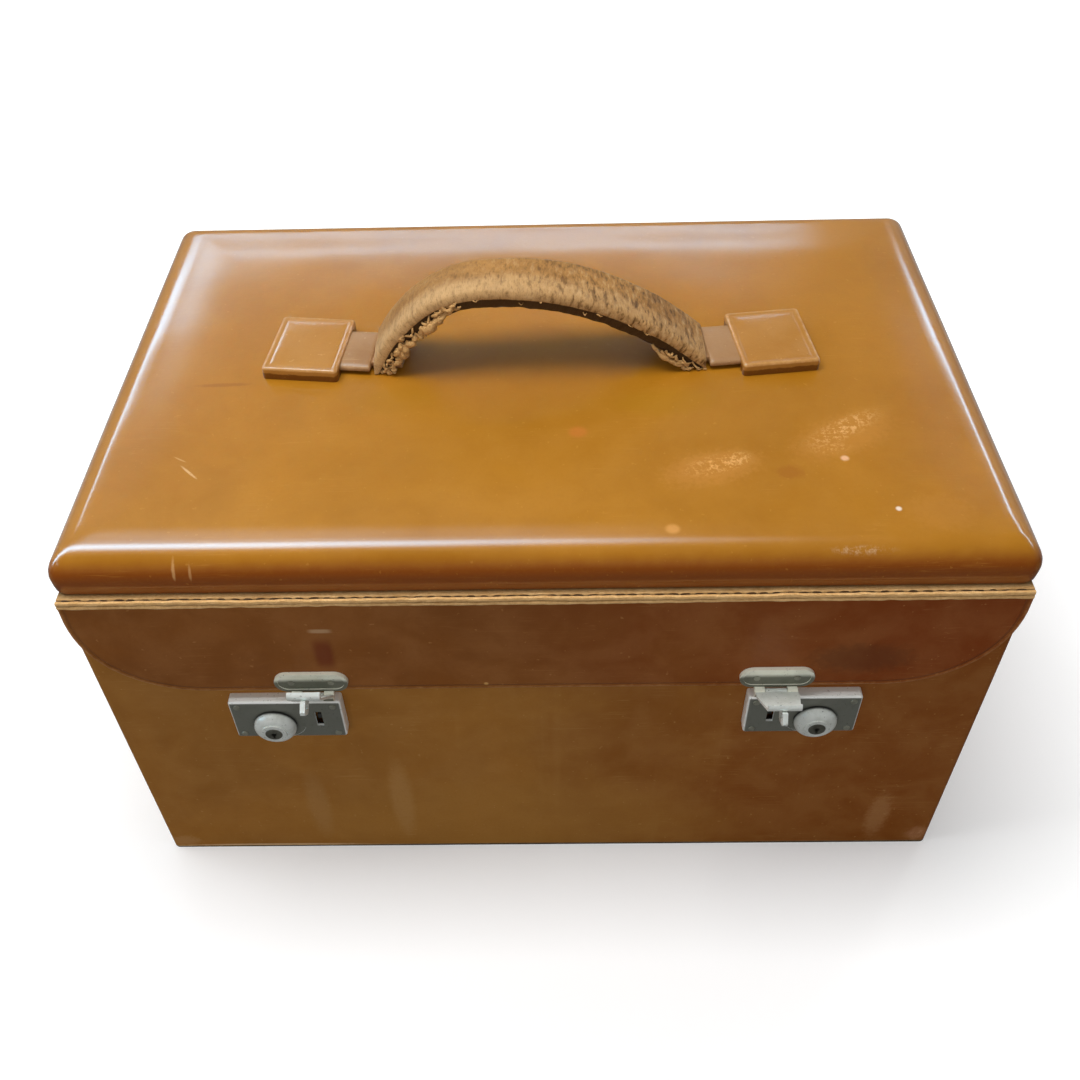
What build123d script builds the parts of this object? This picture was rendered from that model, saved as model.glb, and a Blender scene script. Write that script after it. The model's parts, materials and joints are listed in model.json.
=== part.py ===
from build123d import *
from math import asin, cos, degrees, radians, sin
import os

# Leather travelling dressing case: hinged lid with a hanging front flap, two hasp locks,
# a sliding carrying handle, lid stays, a mirror in the lid and a rack of toilet bottles.
#
# Frame: X to the right, Y to the back, Z up. The origin is the centre of the base's underside.
# Left and right are those of someone who faces the locks. Millimetres throughout.

# ---------------------------------------------------------------- case body
body_width = 363.0
body_depth = 233.5
body_height = 183.0
leather = 2.0            # covering leather on the walls and the lid
base_leather = 1.6       # leather panel under the base
wall_board = 7.0         # wooden walls
base_board_height = 8.0
corner_rebate = 3.5      # depth of the rebates that hold the side boards
body_corner_radius = 3.0
lining = 1.0             # cloth-covered card inside the case
lip_thickness = 3.0      # raised lip inside the rim
lip_rise = 4.0           # height of the lip above the rim
lip_reach = 23.0         # how far the lip strip runs down inside the walls
lip_stay_gap = 12.0      # the lip stops this far in front of the stay studs

# ---------------------------------------------------------------- lid
lid_gap = 0.4            # seam between the case and the closed lid
lid_height = 21.6
lid_side_overhang = 1.0
lid_front_overhang = 0.2
lid_edge_radius = 10.5
lid_corner_radius = 5.0
lid_board_height = 6.2
lid_frame_back = 8.0     # thickness of the lid frame's back rail
lid_fit = 1.2            # clearance between the lid frame and the lip

welt_layer = 2.0         # each of the two leather layers of the front welt
welt_reach = 4.0         # how far the welt stands out from the case
welt_overrun = 0.5       # how far the welt runs past each end of the lid
flap_thickness = 2.5
flap_gap = 0.3           # between the hanging flap and the case
flap_drop = 52.9         # from the seam to the flap's lower edge
flap_overhang = 1.5      # how far the flap runs past each side of the case
flap_corner_radius = 46.5

mirror_width = 216.0
mirror_depth = 140.0
mirror_glass_thickness = 3.0
mirror_bead = 1.0        # bead of the frame below the glass
mirror_bead_cover = 2.0  # how far the bead covers the glass
mirror_frame_width = 12.0
mirror_fit = 0.4

# ---------------------------------------------------------------- lid hinges
hinge_inset = 68.0       # from the side of the case to the hinge's middle
hinge_width = 40.0
hinge_leaf_thickness = 1.2
hinge_barrel_radius = 2.5
hinge_pin_radius = 1.2
hinge_pin_head = 1.8     # radius of the pin's peened ends
hinge_pin_end = 0.8      # height of the peened ends
hinge_pin_fit = 0.05
hinge_knuckle_fit = 0.2
hinge_axis_out = 2.7     # hinge axis behind the back face
hinge_body_leaf = 22.0
hinge_lid_leaf = 10.0
hinge_screw_pitch = 13.0
screw_head_radius = 2.3
screw_head_height = 0.9
screw_radius = 1.1
screw_length = 6.0
drill_fit = 0.05

# ---------------------------------------------------------------- lid stays
lid_opening = 105.0      # degrees
stay_radius = 62.0       # stud and pivot both lie this far from the hinge axis
stay_rest_angle = 24.0   # angle between them about the hinge axis with the lid shut
stay_pivot_rise = 6.0    # pivot above the hinge axis
stay_arm_width = 9.6
stay_arm_thickness = 1.5
stay_slot_fit = 0.3
stay_pin_radius = 2.0
stay_pin_fit = 0.1
stay_flange_radius = 4.5
stay_flange = 1.0
stay_spacer_radius = 3.0
stay_head_radius = 3.7
stay_head = 0.9
stay_side_fit = 0.3
stay_wall_gap = 3.5      # between the lining and the arm
stay_shank_radius = 1.5
stay_shank = 5.0

# ---------------------------------------------------------------- locks
button_inset = 70.5      # from the side of the case to the button's centre
button_drop = 19.6       # button's centre below the hasp axis
lock_width = 46.0
lock_height = 24.0
lock_depth = 5.2
lock_outer_end = 17.5    # from the button's centre to the end away from the slot
lock_below = 9.5         # from the button's centre to the lower edge
lock_sheet = 1.0
lock_edge_radius = 1.2
button_travel = 3.2
button_radius = 8.7
button_rim = 1.0
button_face_radius = 5.25
button_height = 4.9
button_step = 0.6
button_gap = 0.3
button_stem_radius = 5.2
button_stem_fit = 0.25
track_depth = 0.35
track_margin = 0.5
slide_plate = 1.1
slide_gap = 0.2
slide_height = 14.0
slide_tail = 8.0
slide_below = 4.0        # slide plate's lower edge below the button's centre
slide_end_gap = 0.5
slide_bridge = 1.8       # metal left above and below the staple window
bolt_height = 2.8
bolt_cover = 1.7         # how far the bolt reaches through the staple
barrel_radius = 3.5
barrel_fit = 0.05
barrel_stand_out = 0.3
keyhole_radius = 1.1
keyhole_slit = 1.0
keyhole_length = 2.6
keyhole_depth = 3.0
cam_length = 7.0
cam_width = 3.0
cam_thickness = 0.9
rivet_inset_x = 3.4
rivet_inset_z = 2.9
rivet_head_radius = 1.4
rivet_head = 0.5
rivet_radius = 0.8
rivet_length = 5.0

# ---------------------------------------------------------------- hasps
slot_from_button = 18.5  # staple slot's centre from the button's centre
hasp_axis_out = 6.0      # hasp axis in front of the case
hasp_axis_rise = 0.1     # hasp axis above the flap's lower edge
hasp_width = 17.0
hasp_lip_width = 13.0
hasp_length = 19.0
hasp_sheet = 1.1
hasp_clearance = 0.7     # between the closed hasp and the lock case
hasp_knuckle_radius = 1.7
hasp_knuckle = 8.4
hasp_knuckle_fit = 0.3
hasp_pin_radius = 0.8
hasp_pin_fit = 0.05
hasp_lip_radius = 2.5
hasp_lip_reach = 0.8
staple_drop = 16.0       # staple's centre below the axis on a closed hasp
staple_height = 7.0
staple_thickness = 2.0
staple_reach = 5.6
staple_eye_height = 4.0
staple_tip = 2.2         # metal between the eye and the staple's tip
slot_width = 2.8
slot_fit = 1.2
hasp_raised_left = 140.0
hasp_raised_right = 120.0
hasp_plate_length = 29.5
hasp_plate_height = 11.0
hasp_plate_thickness = 1.6
hasp_plate_rim = 1.5
hasp_plate_recess = 0.4
hasp_plate_rise = 1.4    # plate's lower edge above the hasp axis
hasp_rivet_pitch = 16.0
hasp_rivet_radius = 1.3

# ---------------------------------------------------------------- carrying handle
handle_y = 2.5
handle_skew = 6.0        # the tabs' outer ends are turned a little towards the back
grip_half_length = 70.5
grip_width = 26.0
grip_thickness = 6.8
grip_edge_radius = 2.4
grip_clearance = 0.3
grip_rise = 35.6         # middle of the strap above the lid at the top of the arch
grip_bends = (58.0, 40.0, 112.0, 83.0)  # the arch's bend radii from left to right
tab_from_grip = 13.0
tab_length = 32.7
tab_width = 38.0
tab_height = 5.6
tab_floor = 0.6
tab_roof = 1.0
tab_edge_radius = 1.2
tongue_width = 26.0
tongue_fit = 0.2
tongue_edge_radius = 1.2
tongue_travel = 11.5
tongue_in_tab = 16.0
core_width = 18.0        # core strap that joins the tongue to the grip
core_thickness = 2.2
core_in_grip = 13.0
core_fit = 0.25

# ---------------------------------------------------------------- toilet fittings
rack_side_gap = 18.0     # between the rack's ends and the side lining
rack_depth = 56.0
rack_height = 50.0
rack_sheet = 4.0
rack_front_gap = 0.3
well_fit = 0.75
fitting_names = ("scent_bottle_left", "cream_jar_left", "cream_jar_right", "scent_bottle_right")
bottle_radius = 19.0
bottle_height = 92.0
bottle_neck = 9.0
jar_radius = 24.0
jar_height = 56.0
jar_neck = 17.5
glass_wall = 2.6
glass_base = 5.0
shoulder_radius = 5.0
neck_height = 9.0
neck_wall = 2.0
cap_wall = 1.6
cap_fit = 0.2
cap_top = 3.0

# ---------------------------------------------------------------- places worked out from the sizes
side_x = body_width / 2
front_y = -body_depth / 2
back_y = body_depth / 2
core_x = side_x - leather
core_front = front_y + leather
core_back = back_y - leather
floor_z = base_leather + base_board_height
inner_x = core_x - wall_board
inner_front = core_front + wall_board
inner_back = core_back - wall_board
lined_x = inner_x - lining
lined_front = inner_front + lining
lined_back = inner_back - lining
lined_floor = floor_z + lining

lid_z = body_height + lid_gap
lid_top = lid_z + lid_height
lid_x = side_x + lid_side_overhang
lid_front = front_y - lid_front_overhang
lid_frame_top = lid_top - leather - lid_board_height
frame_inner_x = lined_x + lid_fit
frame_inner_front = lined_front - lid_fit
frame_inner_back = core_back - lid_frame_back
lid_lining_z = lid_frame_top - lining
welt_x = lid_x + welt_overrun
welt_front = front_y - welt_reach
flap_back = front_y - flap_gap
flap_front = flap_back - flap_thickness

hinge_x = side_x - hinge_inset
hinge_y = back_y + hinge_axis_out
hinge_z = body_height + lid_gap / 2
stay_pivot_angle = degrees(asin(stay_pivot_rise / stay_radius))
stay_x = lined_x - stay_wall_gap - stay_arm_thickness / 2
button_x = side_x - button_inset
slot_x = button_x - slot_from_button
hasp_axis_y = front_y - hasp_axis_out
hasp_axis_z = lid_z - flap_drop + hasp_axis_rise
button_z = hasp_axis_z - button_drop
rack_half_width = lined_x - rack_side_gap


# ---------------------------------------------------------------- helpers
def block(x0, x1, y0, y1, z0, z1):
    """A box between two opposite corners."""
    centre = Pos((x0 + x1) / 2, (y0 + y1) / 2, (z0 + z1) / 2)
    return centre * Box(x1 - x0, y1 - y0, z1 - z0)


def outward(x, y, z):
    """A place on the front of the case, with local Y up and local Z out towards the viewer."""
    return Pos(x, y, z) * Rot(90, 0, 0)


def rod(radius, length):
    """A cylinder that stands on its local XY plane."""
    return extrude(Circle(radius), length)


def along_x(radius, x0, x1, y, z):
    """A cylinder along X."""
    return Pos(x0, y, z) * Rot(0, 90, 0) * rod(radius, x1 - x0)


def left_of(solid):
    """The mirror image on the left side of the case."""
    return mirror(solid, about=Plane.YZ)


def pair(name, solid):
    """A right-hand piece and its mirror image, as two named nodes."""
    return {name + "_left": left_of(solid), name + "_right": solid}


def both_sides(solids):
    """A group of right-hand solids together with their mirror images."""
    return Compound([*solids, *map(left_of, solids)])


def about_hinge(angle):
    """The point (y, z) at the stay radius in front of the hinge axis, at an angle above level."""
    return (hinge_y - stay_radius * cos(radians(angle)), hinge_z + stay_radius * sin(radians(angle)))


# ---------------------------------------------------------------- case body
def boards():
    """The wooden carcase: a base board and four walls, with the sides let into rebates."""
    nodes = {"base_board": block(-core_x, core_x, core_front, core_back, base_leather, floor_z)}
    for name, outer, inner in (("front_board", core_front, inner_front),
                               ("back_board", core_back, inner_back)):
        rebate = inner + corner_rebate if outer > inner else inner - corner_rebate
        board = block(-core_x, core_x, *sorted((outer, inner)), floor_z, body_height)
        for x0, x1 in ((-core_x, -inner_x), (inner_x, core_x)):
            board -= block(x0, x1, *sorted((rebate, inner)), floor_z, body_height)
        nodes[name] = board
    side_board = block(inner_x, core_x, inner_front - corner_rebate, inner_back + corner_rebate,
                       floor_z, body_height)
    nodes.update({"left_board": left_of(side_board), "right_board": side_board})
    return nodes


def body_leather():
    """The leather wrapped round the four walls."""
    outline = RectangleRounded(body_width, body_depth, body_corner_radius)
    wrap = Pos(0, 0, base_leather) * extrude(outline, body_height - base_leather)
    return wrap - block(-core_x, core_x, core_front, core_back, base_leather, body_height)


def base_panel():
    """The leather panel under the base, with raw edges."""
    return extrude(RectangleRounded(body_width, body_depth, body_corner_radius), base_leather)


def body_lining():
    """The lining of the floor and the walls."""
    shell = block(-inner_x, inner_x, inner_front, inner_back, floor_z, body_height)
    return shell - block(-lined_x, lined_x, lined_front, lined_back, lined_floor, body_height)


def rim_lip():
    """The raised lip along the front and the sides that guides the lid."""
    stud_y = about_hinge(stay_pivot_angle - stay_rest_angle)[0]
    low, high = body_height - lip_reach, body_height + lip_rise
    end_y = stud_y - lip_stay_gap
    strip = block(-lined_x, lined_x, lined_front, end_y, low, high)
    inside = block(-lined_x + lip_thickness, lined_x - lip_thickness,
                   lined_front + lip_thickness, end_y, low, high)
    return strip - inside


# ---------------------------------------------------------------- lid
def lid_form(inset):
    """The lid's rounded block: every upper edge rolls over, and the plan's corners are eased."""
    x, front, back = lid_x - inset, lid_front + inset, back_y - inset
    top, roll = lid_top - inset, lid_edge_radius - inset
    height, depth = top - lid_z, back - front
    plan = Pos(0, (front + back) / 2, lid_z) * extrude(
        RectangleRounded(2 * x, depth, lid_corner_radius - inset), height)
    middle, level = (front + back) / 2, lid_z + height / 2
    across = Rectangle(2 * x, height)
    across = fillet(across.vertices().sort_by(Axis.Y)[-2:], roll)
    across = Plane((0, back, level), x_dir=(1, 0, 0), z_dir=(0, -1, 0)) * extrude(across, depth)
    along = Rectangle(depth, height)
    along = fillet(along.vertices().sort_by(Axis.Y)[-2:], roll)
    along = Plane((-x, middle, level), x_dir=(0, 1, 0), z_dir=(1, 0, 0)) * extrude(along, 2 * x)
    return plan & across & along


def lid_wood():
    """The lid's top board and the frame below it."""
    form = lid_form(leather)
    board = form & block(-lid_x, lid_x, lid_front, back_y, lid_frame_top, lid_top)
    frame = form & block(-lid_x, lid_x, lid_front, back_y, lid_z, lid_frame_top)
    frame -= block(-frame_inner_x, frame_inner_x, frame_inner_front, frame_inner_back,
                   lid_z, lid_frame_top)
    frame -= flap_rebate()
    return {"lid_board": board, "lid_frame": frame}


def flap_rebate():
    """The space under the lid's front rail that the flap's root fills."""
    return block(-welt_x, welt_x, welt_front, frame_inner_front, lid_z, lid_z + welt_layer)


def lid_leather():
    """The leather drawn over the lid, turned out at the front as the welt's upper layer."""
    cover = lid_form(0.0) - lid_form(leather) - flap_rebate()
    welt_z = lid_z + welt_layer
    return cover + block(-welt_x, welt_x, welt_front, lid_front + leather, welt_z, welt_z + welt_layer)


def front_flap():
    """The flap that hangs over the front, with the welt's lower layer as its root."""
    width = body_width + 2 * flap_overhang
    outline = Rectangle(width, flap_drop)
    outline = fillet(outline.vertices().sort_by(Axis.Y)[:2], flap_corner_radius)
    panel = outward(0, flap_back, lid_z - flap_drop / 2) * extrude(outline, flap_thickness)
    return panel + flap_rebate()


def lid_lining():
    """The lining under the lid board."""
    return block(-frame_inner_x, frame_inner_x, frame_inner_front, frame_inner_back,
                 lid_lining_z, lid_frame_top)


def lid_mirror():
    """The mirror glass under the lid lining, held by a beaded frame."""
    glass_z = lid_lining_z - mirror_glass_thickness
    bead_z = glass_z - mirror_bead
    half_x, half_y = mirror_width / 2, mirror_depth / 2
    outer_x, outer_y = half_x + mirror_frame_width, half_y + mirror_frame_width
    sight_x, sight_y = half_x - mirror_bead_cover, half_y - mirror_bead_cover
    seat_x, seat_y = half_x + mirror_fit, half_y + mirror_fit
    frame = block(-outer_x, outer_x, -outer_y, outer_y, bead_z, lid_lining_z)
    frame = fillet(frame.edges().group_by(Axis.Z)[0], mirror_bead)
    frame -= block(-seat_x, seat_x, -seat_y, seat_y, glass_z, lid_lining_z)
    frame -= block(-sight_x, sight_x, -sight_y, sight_y, bead_z, glass_z)
    glass = block(-half_x, half_x, -half_y, half_y, glass_z, lid_lining_z)
    return {"mirror_frame": frame, "mirror_glass": glass}


# ---------------------------------------------------------------- lid hinges
def hinge_leaf(z0, z1, knuckles):
    """One leaf of a lid hinge, with its knuckles; each knuckle is a pair of X limits."""
    leaf = block(hinge_x - hinge_width / 2, hinge_x + hinge_width / 2,
                 back_y, back_y + hinge_leaf_thickness, z0, z1)
    leaf -= along_x(hinge_barrel_radius + hinge_knuckle_fit, hinge_x - hinge_width / 2,
                    hinge_x + hinge_width / 2, hinge_y, hinge_z)
    reach = hinge_barrel_radius + hinge_knuckle_fit
    web_z = hinge_z - reach if z1 < hinge_z else hinge_z + reach
    for x0, x1 in knuckles:
        leaf += along_x(hinge_barrel_radius, x0, x1, hinge_y, hinge_z)
        leaf += block(x0, x1, back_y, back_y + hinge_leaf_thickness, *sorted((web_z, hinge_z)))
    bore = along_x(hinge_pin_radius + hinge_pin_fit, hinge_x - hinge_width / 2,
                   hinge_x + hinge_width / 2, hinge_y, hinge_z)
    return leaf - bore


def screw_places(z):
    """The centres of the three screws in a row on a hinge leaf."""
    return [(hinge_x + step * hinge_screw_pitch, z) for step in (-1, 0, 1)]


def screw(x, z, radius=screw_radius):
    """A shank that runs forward into the back of the case."""
    return Pos(x, back_y + hinge_leaf_thickness, z) * Rot(90, 0, 0) * rod(radius, screw_length)


def screws(z):
    """The right-hand hinge's row of domed screws."""
    group = []
    for x, height in screw_places(z):
        head = Pos(x, back_y + hinge_leaf_thickness, height) * Rot(-90, 0, 0) * rod(
            screw_head_radius, screw_head_height)
        head = fillet(head.edges().sort_by(Axis.Y)[-1], 0.8 * screw_head_height)
        group.append(head + screw(x, height))
    return group


def drilled(solid, z):
    """A solid of the case or lid with the holes of both hinges' screws at a height."""
    for x, height in screw_places(z):
        hole = screw(x, height, screw_radius + drill_fit)
        solid -= hole
        solid -= left_of(hole)
    return solid


def lid_hinges(body_screw_z, lid_screw_z):
    """Both lid hinges: a leaf on the case, a leaf on the lid and the pin."""
    left, right = hinge_x - hinge_width / 2, hinge_x + hinge_width / 2
    third = hinge_width / 3
    outer_knuckles = [(left, left + third), (right - third, right)]
    inner_knuckle = [(left + third + hinge_knuckle_fit, right - third - hinge_knuckle_fit)]
    body_leaf = hinge_leaf(body_screw_z - hinge_body_leaf / 2, body_screw_z + hinge_body_leaf / 2,
                           outer_knuckles)
    lid_leaf = hinge_leaf(lid_screw_z - hinge_lid_leaf / 2, lid_screw_z + hinge_lid_leaf / 2,
                          inner_knuckle)
    for x, z in screw_places(body_screw_z):
        body_leaf -= screw(x, z, screw_radius + drill_fit)
    for x, z in screw_places(lid_screw_z):
        lid_leaf -= screw(x, z, screw_radius + drill_fit)
    pin = along_x(hinge_pin_radius, left, right, hinge_y, hinge_z)
    pin += along_x(hinge_pin_head, left - hinge_pin_end, left, hinge_y, hinge_z)
    pin += along_x(hinge_pin_head, right, right + hinge_pin_end, hinge_y, hinge_z)
    return {**pair("hinge_leaf_body", body_leaf), **pair("hinge_leaf_lid", lid_leaf),
            **pair("hinge_pin", pin)}


# ---------------------------------------------------------------- lid stays
def stay_places():
    """The pivot and the stud as (y, z) points."""
    return about_hinge(stay_pivot_angle), about_hinge(stay_pivot_angle - stay_rest_angle)


def stay_arm():
    """The slotted arm, hanging from its pivot through the stud with the lid shut."""
    (pivot_y, pivot_z), (stud_y, stud_z) = stay_places()
    shut = 2 * stay_radius * sin(radians(stay_rest_angle / 2))
    wide = 2 * stay_radius * sin(radians((stay_rest_angle + lid_opening) / 2))
    slot = stay_pin_radius + stay_slot_fit
    arm = Pos((wide + slot) / 2, 0) * SlotCenterToCenter(wide + slot, stay_arm_width)
    arm -= Pos((shut + wide) / 2, 0) * SlotCenterToCenter(wide - shut, 2 * slot)
    arm -= Circle(stay_pin_radius + stay_pin_fit)
    tilt = degrees(asin((stud_y - pivot_y) / shut))
    plate = Pos(0, 0, -stay_arm_thickness / 2) * extrude(arm, stay_arm_thickness)
    return Pos(stay_x, pivot_y, pivot_z) * Rot(tilt, 0, 0) * Rot(0, 90, 0) * plate


def stay_rivet(y, z, wall_x, shank):
    """A shouldered rivet that stands on a side wall and holds the arm."""
    arm_outer = stay_x + stay_arm_thickness / 2 + stay_side_fit
    arm_inner = stay_x - stay_arm_thickness / 2 - stay_side_fit
    rivet = along_x(stay_flange_radius, wall_x - stay_flange, wall_x, y, z)
    rivet += along_x(stay_spacer_radius, arm_outer, wall_x, y, z)
    rivet += along_x(stay_pin_radius, arm_inner, wall_x, y, z)
    rivet += along_x(stay_head_radius, arm_inner - stay_head, arm_inner, y, z)
    return rivet + along_x(stay_shank_radius, wall_x, wall_x + shank, y, z)


def stay_hole(solid, y, z, wall_x):
    """A solid of the case or lid with both sides' holes for the stay rivets."""
    hole = along_x(stay_shank_radius + drill_fit, wall_x, wall_x + stay_shank, y, z)
    return solid - hole - left_of(hole)


# ---------------------------------------------------------------- locks
def at_button(height_out=0.0):
    """The lock's own frame: origin at the button's centre, local Z out of the case."""
    return outward(button_x, front_y - height_out, button_z)


def staple_slot(width, height, depth, foot):
    """The slot that the staple enters, in the lock's frame."""
    centre_z = hasp_axis_z - staple_drop - button_z - slot_fit / 4
    return Pos(-slot_from_button, centre_z, foot) * extrude(Rectangle(width, height), depth)


def lock_case():
    """The pressed lock case, open at the back, with the button's track and the staple slot."""
    x0 = lock_outer_end - lock_width
    centre = Pos(x0 + lock_width / 2, lock_height / 2 - lock_below)
    case = extrude(centre * Rectangle(lock_width, lock_height), lock_depth)
    case = fillet(case.edges().group_by(Axis.Z)[-1] + case.edges().filter_by(Axis.Z), lock_edge_radius)
    case -= extrude(centre * Rectangle(lock_width - 2 * lock_sheet, lock_height - 2 * lock_sheet),
                    lock_depth - lock_sheet)
    stem_hole = button_stem_radius + button_stem_fit
    case -= Pos(-button_travel / 2, 0) * extrude(
        SlotCenterToCenter(button_travel, 2 * stem_hole), lock_depth)
    track = SlotCenterToCenter(button_travel, 2 * (button_radius + track_margin))
    case -= Pos(-button_travel / 2, 0, lock_depth - track_depth) * extrude(track, track_depth)
    case -= staple_slot(slot_width, staple_height + 2 * slot_fit, lock_depth, 0)
    for rivet in rivet_places():
        case -= rivet * rod(rivet_radius + drill_fit, lock_depth)
    return at_button() * case


def rivet_places():
    """The four rivet centres near the corners of a lock case, in the lock's frame."""
    x0, x1 = lock_outer_end - lock_width + rivet_inset_x, lock_outer_end - rivet_inset_x
    z0, z1 = -lock_below + rivet_inset_z, lock_height - lock_below - rivet_inset_z
    return [Pos(x, z, 0) for x in (x0, x1) for z in (z0, z1)]


def lock_rivets():
    """The rivets that hold the right-hand lock case to the front board."""
    group = []
    for place in rivet_places():
        head = rod(rivet_head_radius, rivet_head)
        head = fillet(head.edges().sort_by(Axis.Z)[-1], 0.8 * rivet_head)
        shank = Pos(0, 0, -lock_depth - rivet_length) * rod(rivet_radius, lock_depth + rivet_length)
        group.append(at_button(lock_depth) * place * (head + shank))
    return group


def rivet_holes(solid):
    """A solid of the front wall with the holes of both locks' rivets."""
    for place in rivet_places():
        hole = at_button() * place * Pos(0, 0, -rivet_length) * rod(
            rivet_radius + drill_fit, rivet_length)
        solid -= hole
        solid -= left_of(hole)
    return solid


def slide_levels():
    """The slide plate's two faces above the case front, in the lock's frame."""
    top = lock_depth - lock_sheet - slide_gap
    return top - slide_plate, top


def lock_slide():
    """The domed button, its stem and the slide plate with the bolt that holds the staple."""
    low, high = slide_levels()
    end = lock_outer_end - lock_width + lock_sheet + slide_end_gap + button_travel
    plate = extrude(Pos((slide_tail + end) / 2, slide_height / 2 - slide_below)
                    * Rectangle(slide_tail - end, slide_height), slide_plate)
    window_height = slide_height - 2 * slide_bridge
    window_x = -slot_from_button + slot_width / 2 + button_travel
    bolt_root = -slot_from_button - staple_thickness / 2 - slide_gap
    window = Pos((window_x + bolt_root) / 2, slide_height / 2 - slide_below)
    plate -= extrude(window * Rectangle(window_x - bolt_root, window_height), slide_plate)
    bolt_z = hasp_axis_z - staple_drop - button_z
    tip = bolt_root + slide_gap + bolt_cover
    plate += extrude(Pos((bolt_root + tip) / 2, bolt_z) * Rectangle(tip - bolt_root, bolt_height),
                     slide_plate)
    slide = Pos(0, 0, low) * plate
    foot = lock_depth + button_gap
    slide += Pos(0, 0, high) * rod(button_stem_radius, foot - high)
    shoulder = foot + button_height - button_step
    rim = foot + button_rim
    with BuildSketch(Plane.XZ) as section:
        with BuildLine():
            Polyline((0, foot), (button_radius, foot), (button_radius, rim))
            EllipticalCenterArc((button_face_radius, rim), button_radius - button_face_radius,
                                shoulder - rim)
            Polyline((button_face_radius, shoulder), (button_face_radius, shoulder + button_step),
                     (0, shoulder + button_step), (0, foot))
        make_face()
    slide += revolve(section.sketch, Axis.Z)
    slide -= rod(barrel_radius + barrel_fit, foot + button_height)
    return at_button() * slide


def key_barrel():
    """The key barrel in the button, with its keyhole and the cam behind the slide plate."""
    low, _ = slide_levels()
    face = lock_depth + button_gap + button_height + barrel_stand_out
    cam_top = low - slide_gap
    barrel = Pos(0, 0, cam_top - cam_thickness) * rod(barrel_radius, face - cam_top + cam_thickness)
    barrel = fillet(barrel.edges().sort_by(Axis.Z)[-1], barrel_stand_out)
    keyhole = Circle(keyhole_radius) + Pos(0, -keyhole_length / 2) * Rectangle(
        keyhole_slit, keyhole_length)
    barrel -= Pos(0, 0, face - keyhole_depth) * extrude(keyhole, keyhole_depth)
    cam = Pos(0, cam_length / 2) * Rectangle(cam_width, cam_length)
    barrel += Pos(0, 0, cam_top - cam_thickness) * extrude(cam, cam_thickness)
    return at_button() * barrel


# ---------------------------------------------------------------- hasps
def at_hasp(raised=0.0):
    """The hasp's own frame on its axis: local Y up, local Z out, turned up from closed."""
    return Pos(slot_x, hasp_axis_y, hasp_axis_z) * Rot(-raised, 0, 0) * Rot(90, 0, 0)


def knuckle(x0, x1):
    """A stretch of the hasp's barrel, in the hasp's frame."""
    return Pos(x0, 0, 0) * Rot(0, 90, 0) * rod(hasp_knuckle_radius, x1 - x0)


def pin_bore():
    """The bore along the hasp's barrel."""
    return Pos(-hasp_width / 2, 0, 0) * Rot(0, 90, 0) * rod(hasp_pin_radius + hasp_pin_fit, hasp_width)


def hasp_plate():
    """The hasp's hinge plate on the flap: a pill with a raised rim and two end knuckles."""
    foot = hasp_axis_y - flap_front
    centre_z = hasp_plate_rise + hasp_plate_height / 2
    plate = Pos(0, centre_z, foot) * extrude(
        SlotOverall(hasp_plate_length, hasp_plate_height), hasp_plate_thickness)
    plate -= Pos(0, centre_z, foot + hasp_plate_thickness - hasp_plate_recess) * extrude(
        SlotOverall(hasp_plate_length - 2 * hasp_plate_rim, hasp_plate_height - 2 * hasp_plate_rim),
        hasp_plate_recess)
    inner, outer = hasp_knuckle / 2 + hasp_knuckle_fit, hasp_width / 2
    for x0, x1 in ((-outer, -inner), (inner, outer)):
        plate += knuckle(x0, x1)
        plate += block(x0, x1, 0, hasp_knuckle_radius, foot, 0)
    return at_hasp() * (plate - pin_bore())


def hasp_rivets():
    """The two flat rivets in the recess of the right-hand hinge plate."""
    centre_z = hasp_plate_rise + hasp_plate_height / 2
    seat = hasp_axis_y - flap_front + hasp_plate_thickness - hasp_plate_recess
    head = rod(hasp_rivet_radius, hasp_plate_recess)
    return [at_hasp() * Pos(x, centre_z, seat) * head
            for x in (-hasp_rivet_pitch / 2, hasp_rivet_pitch / 2)]


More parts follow.
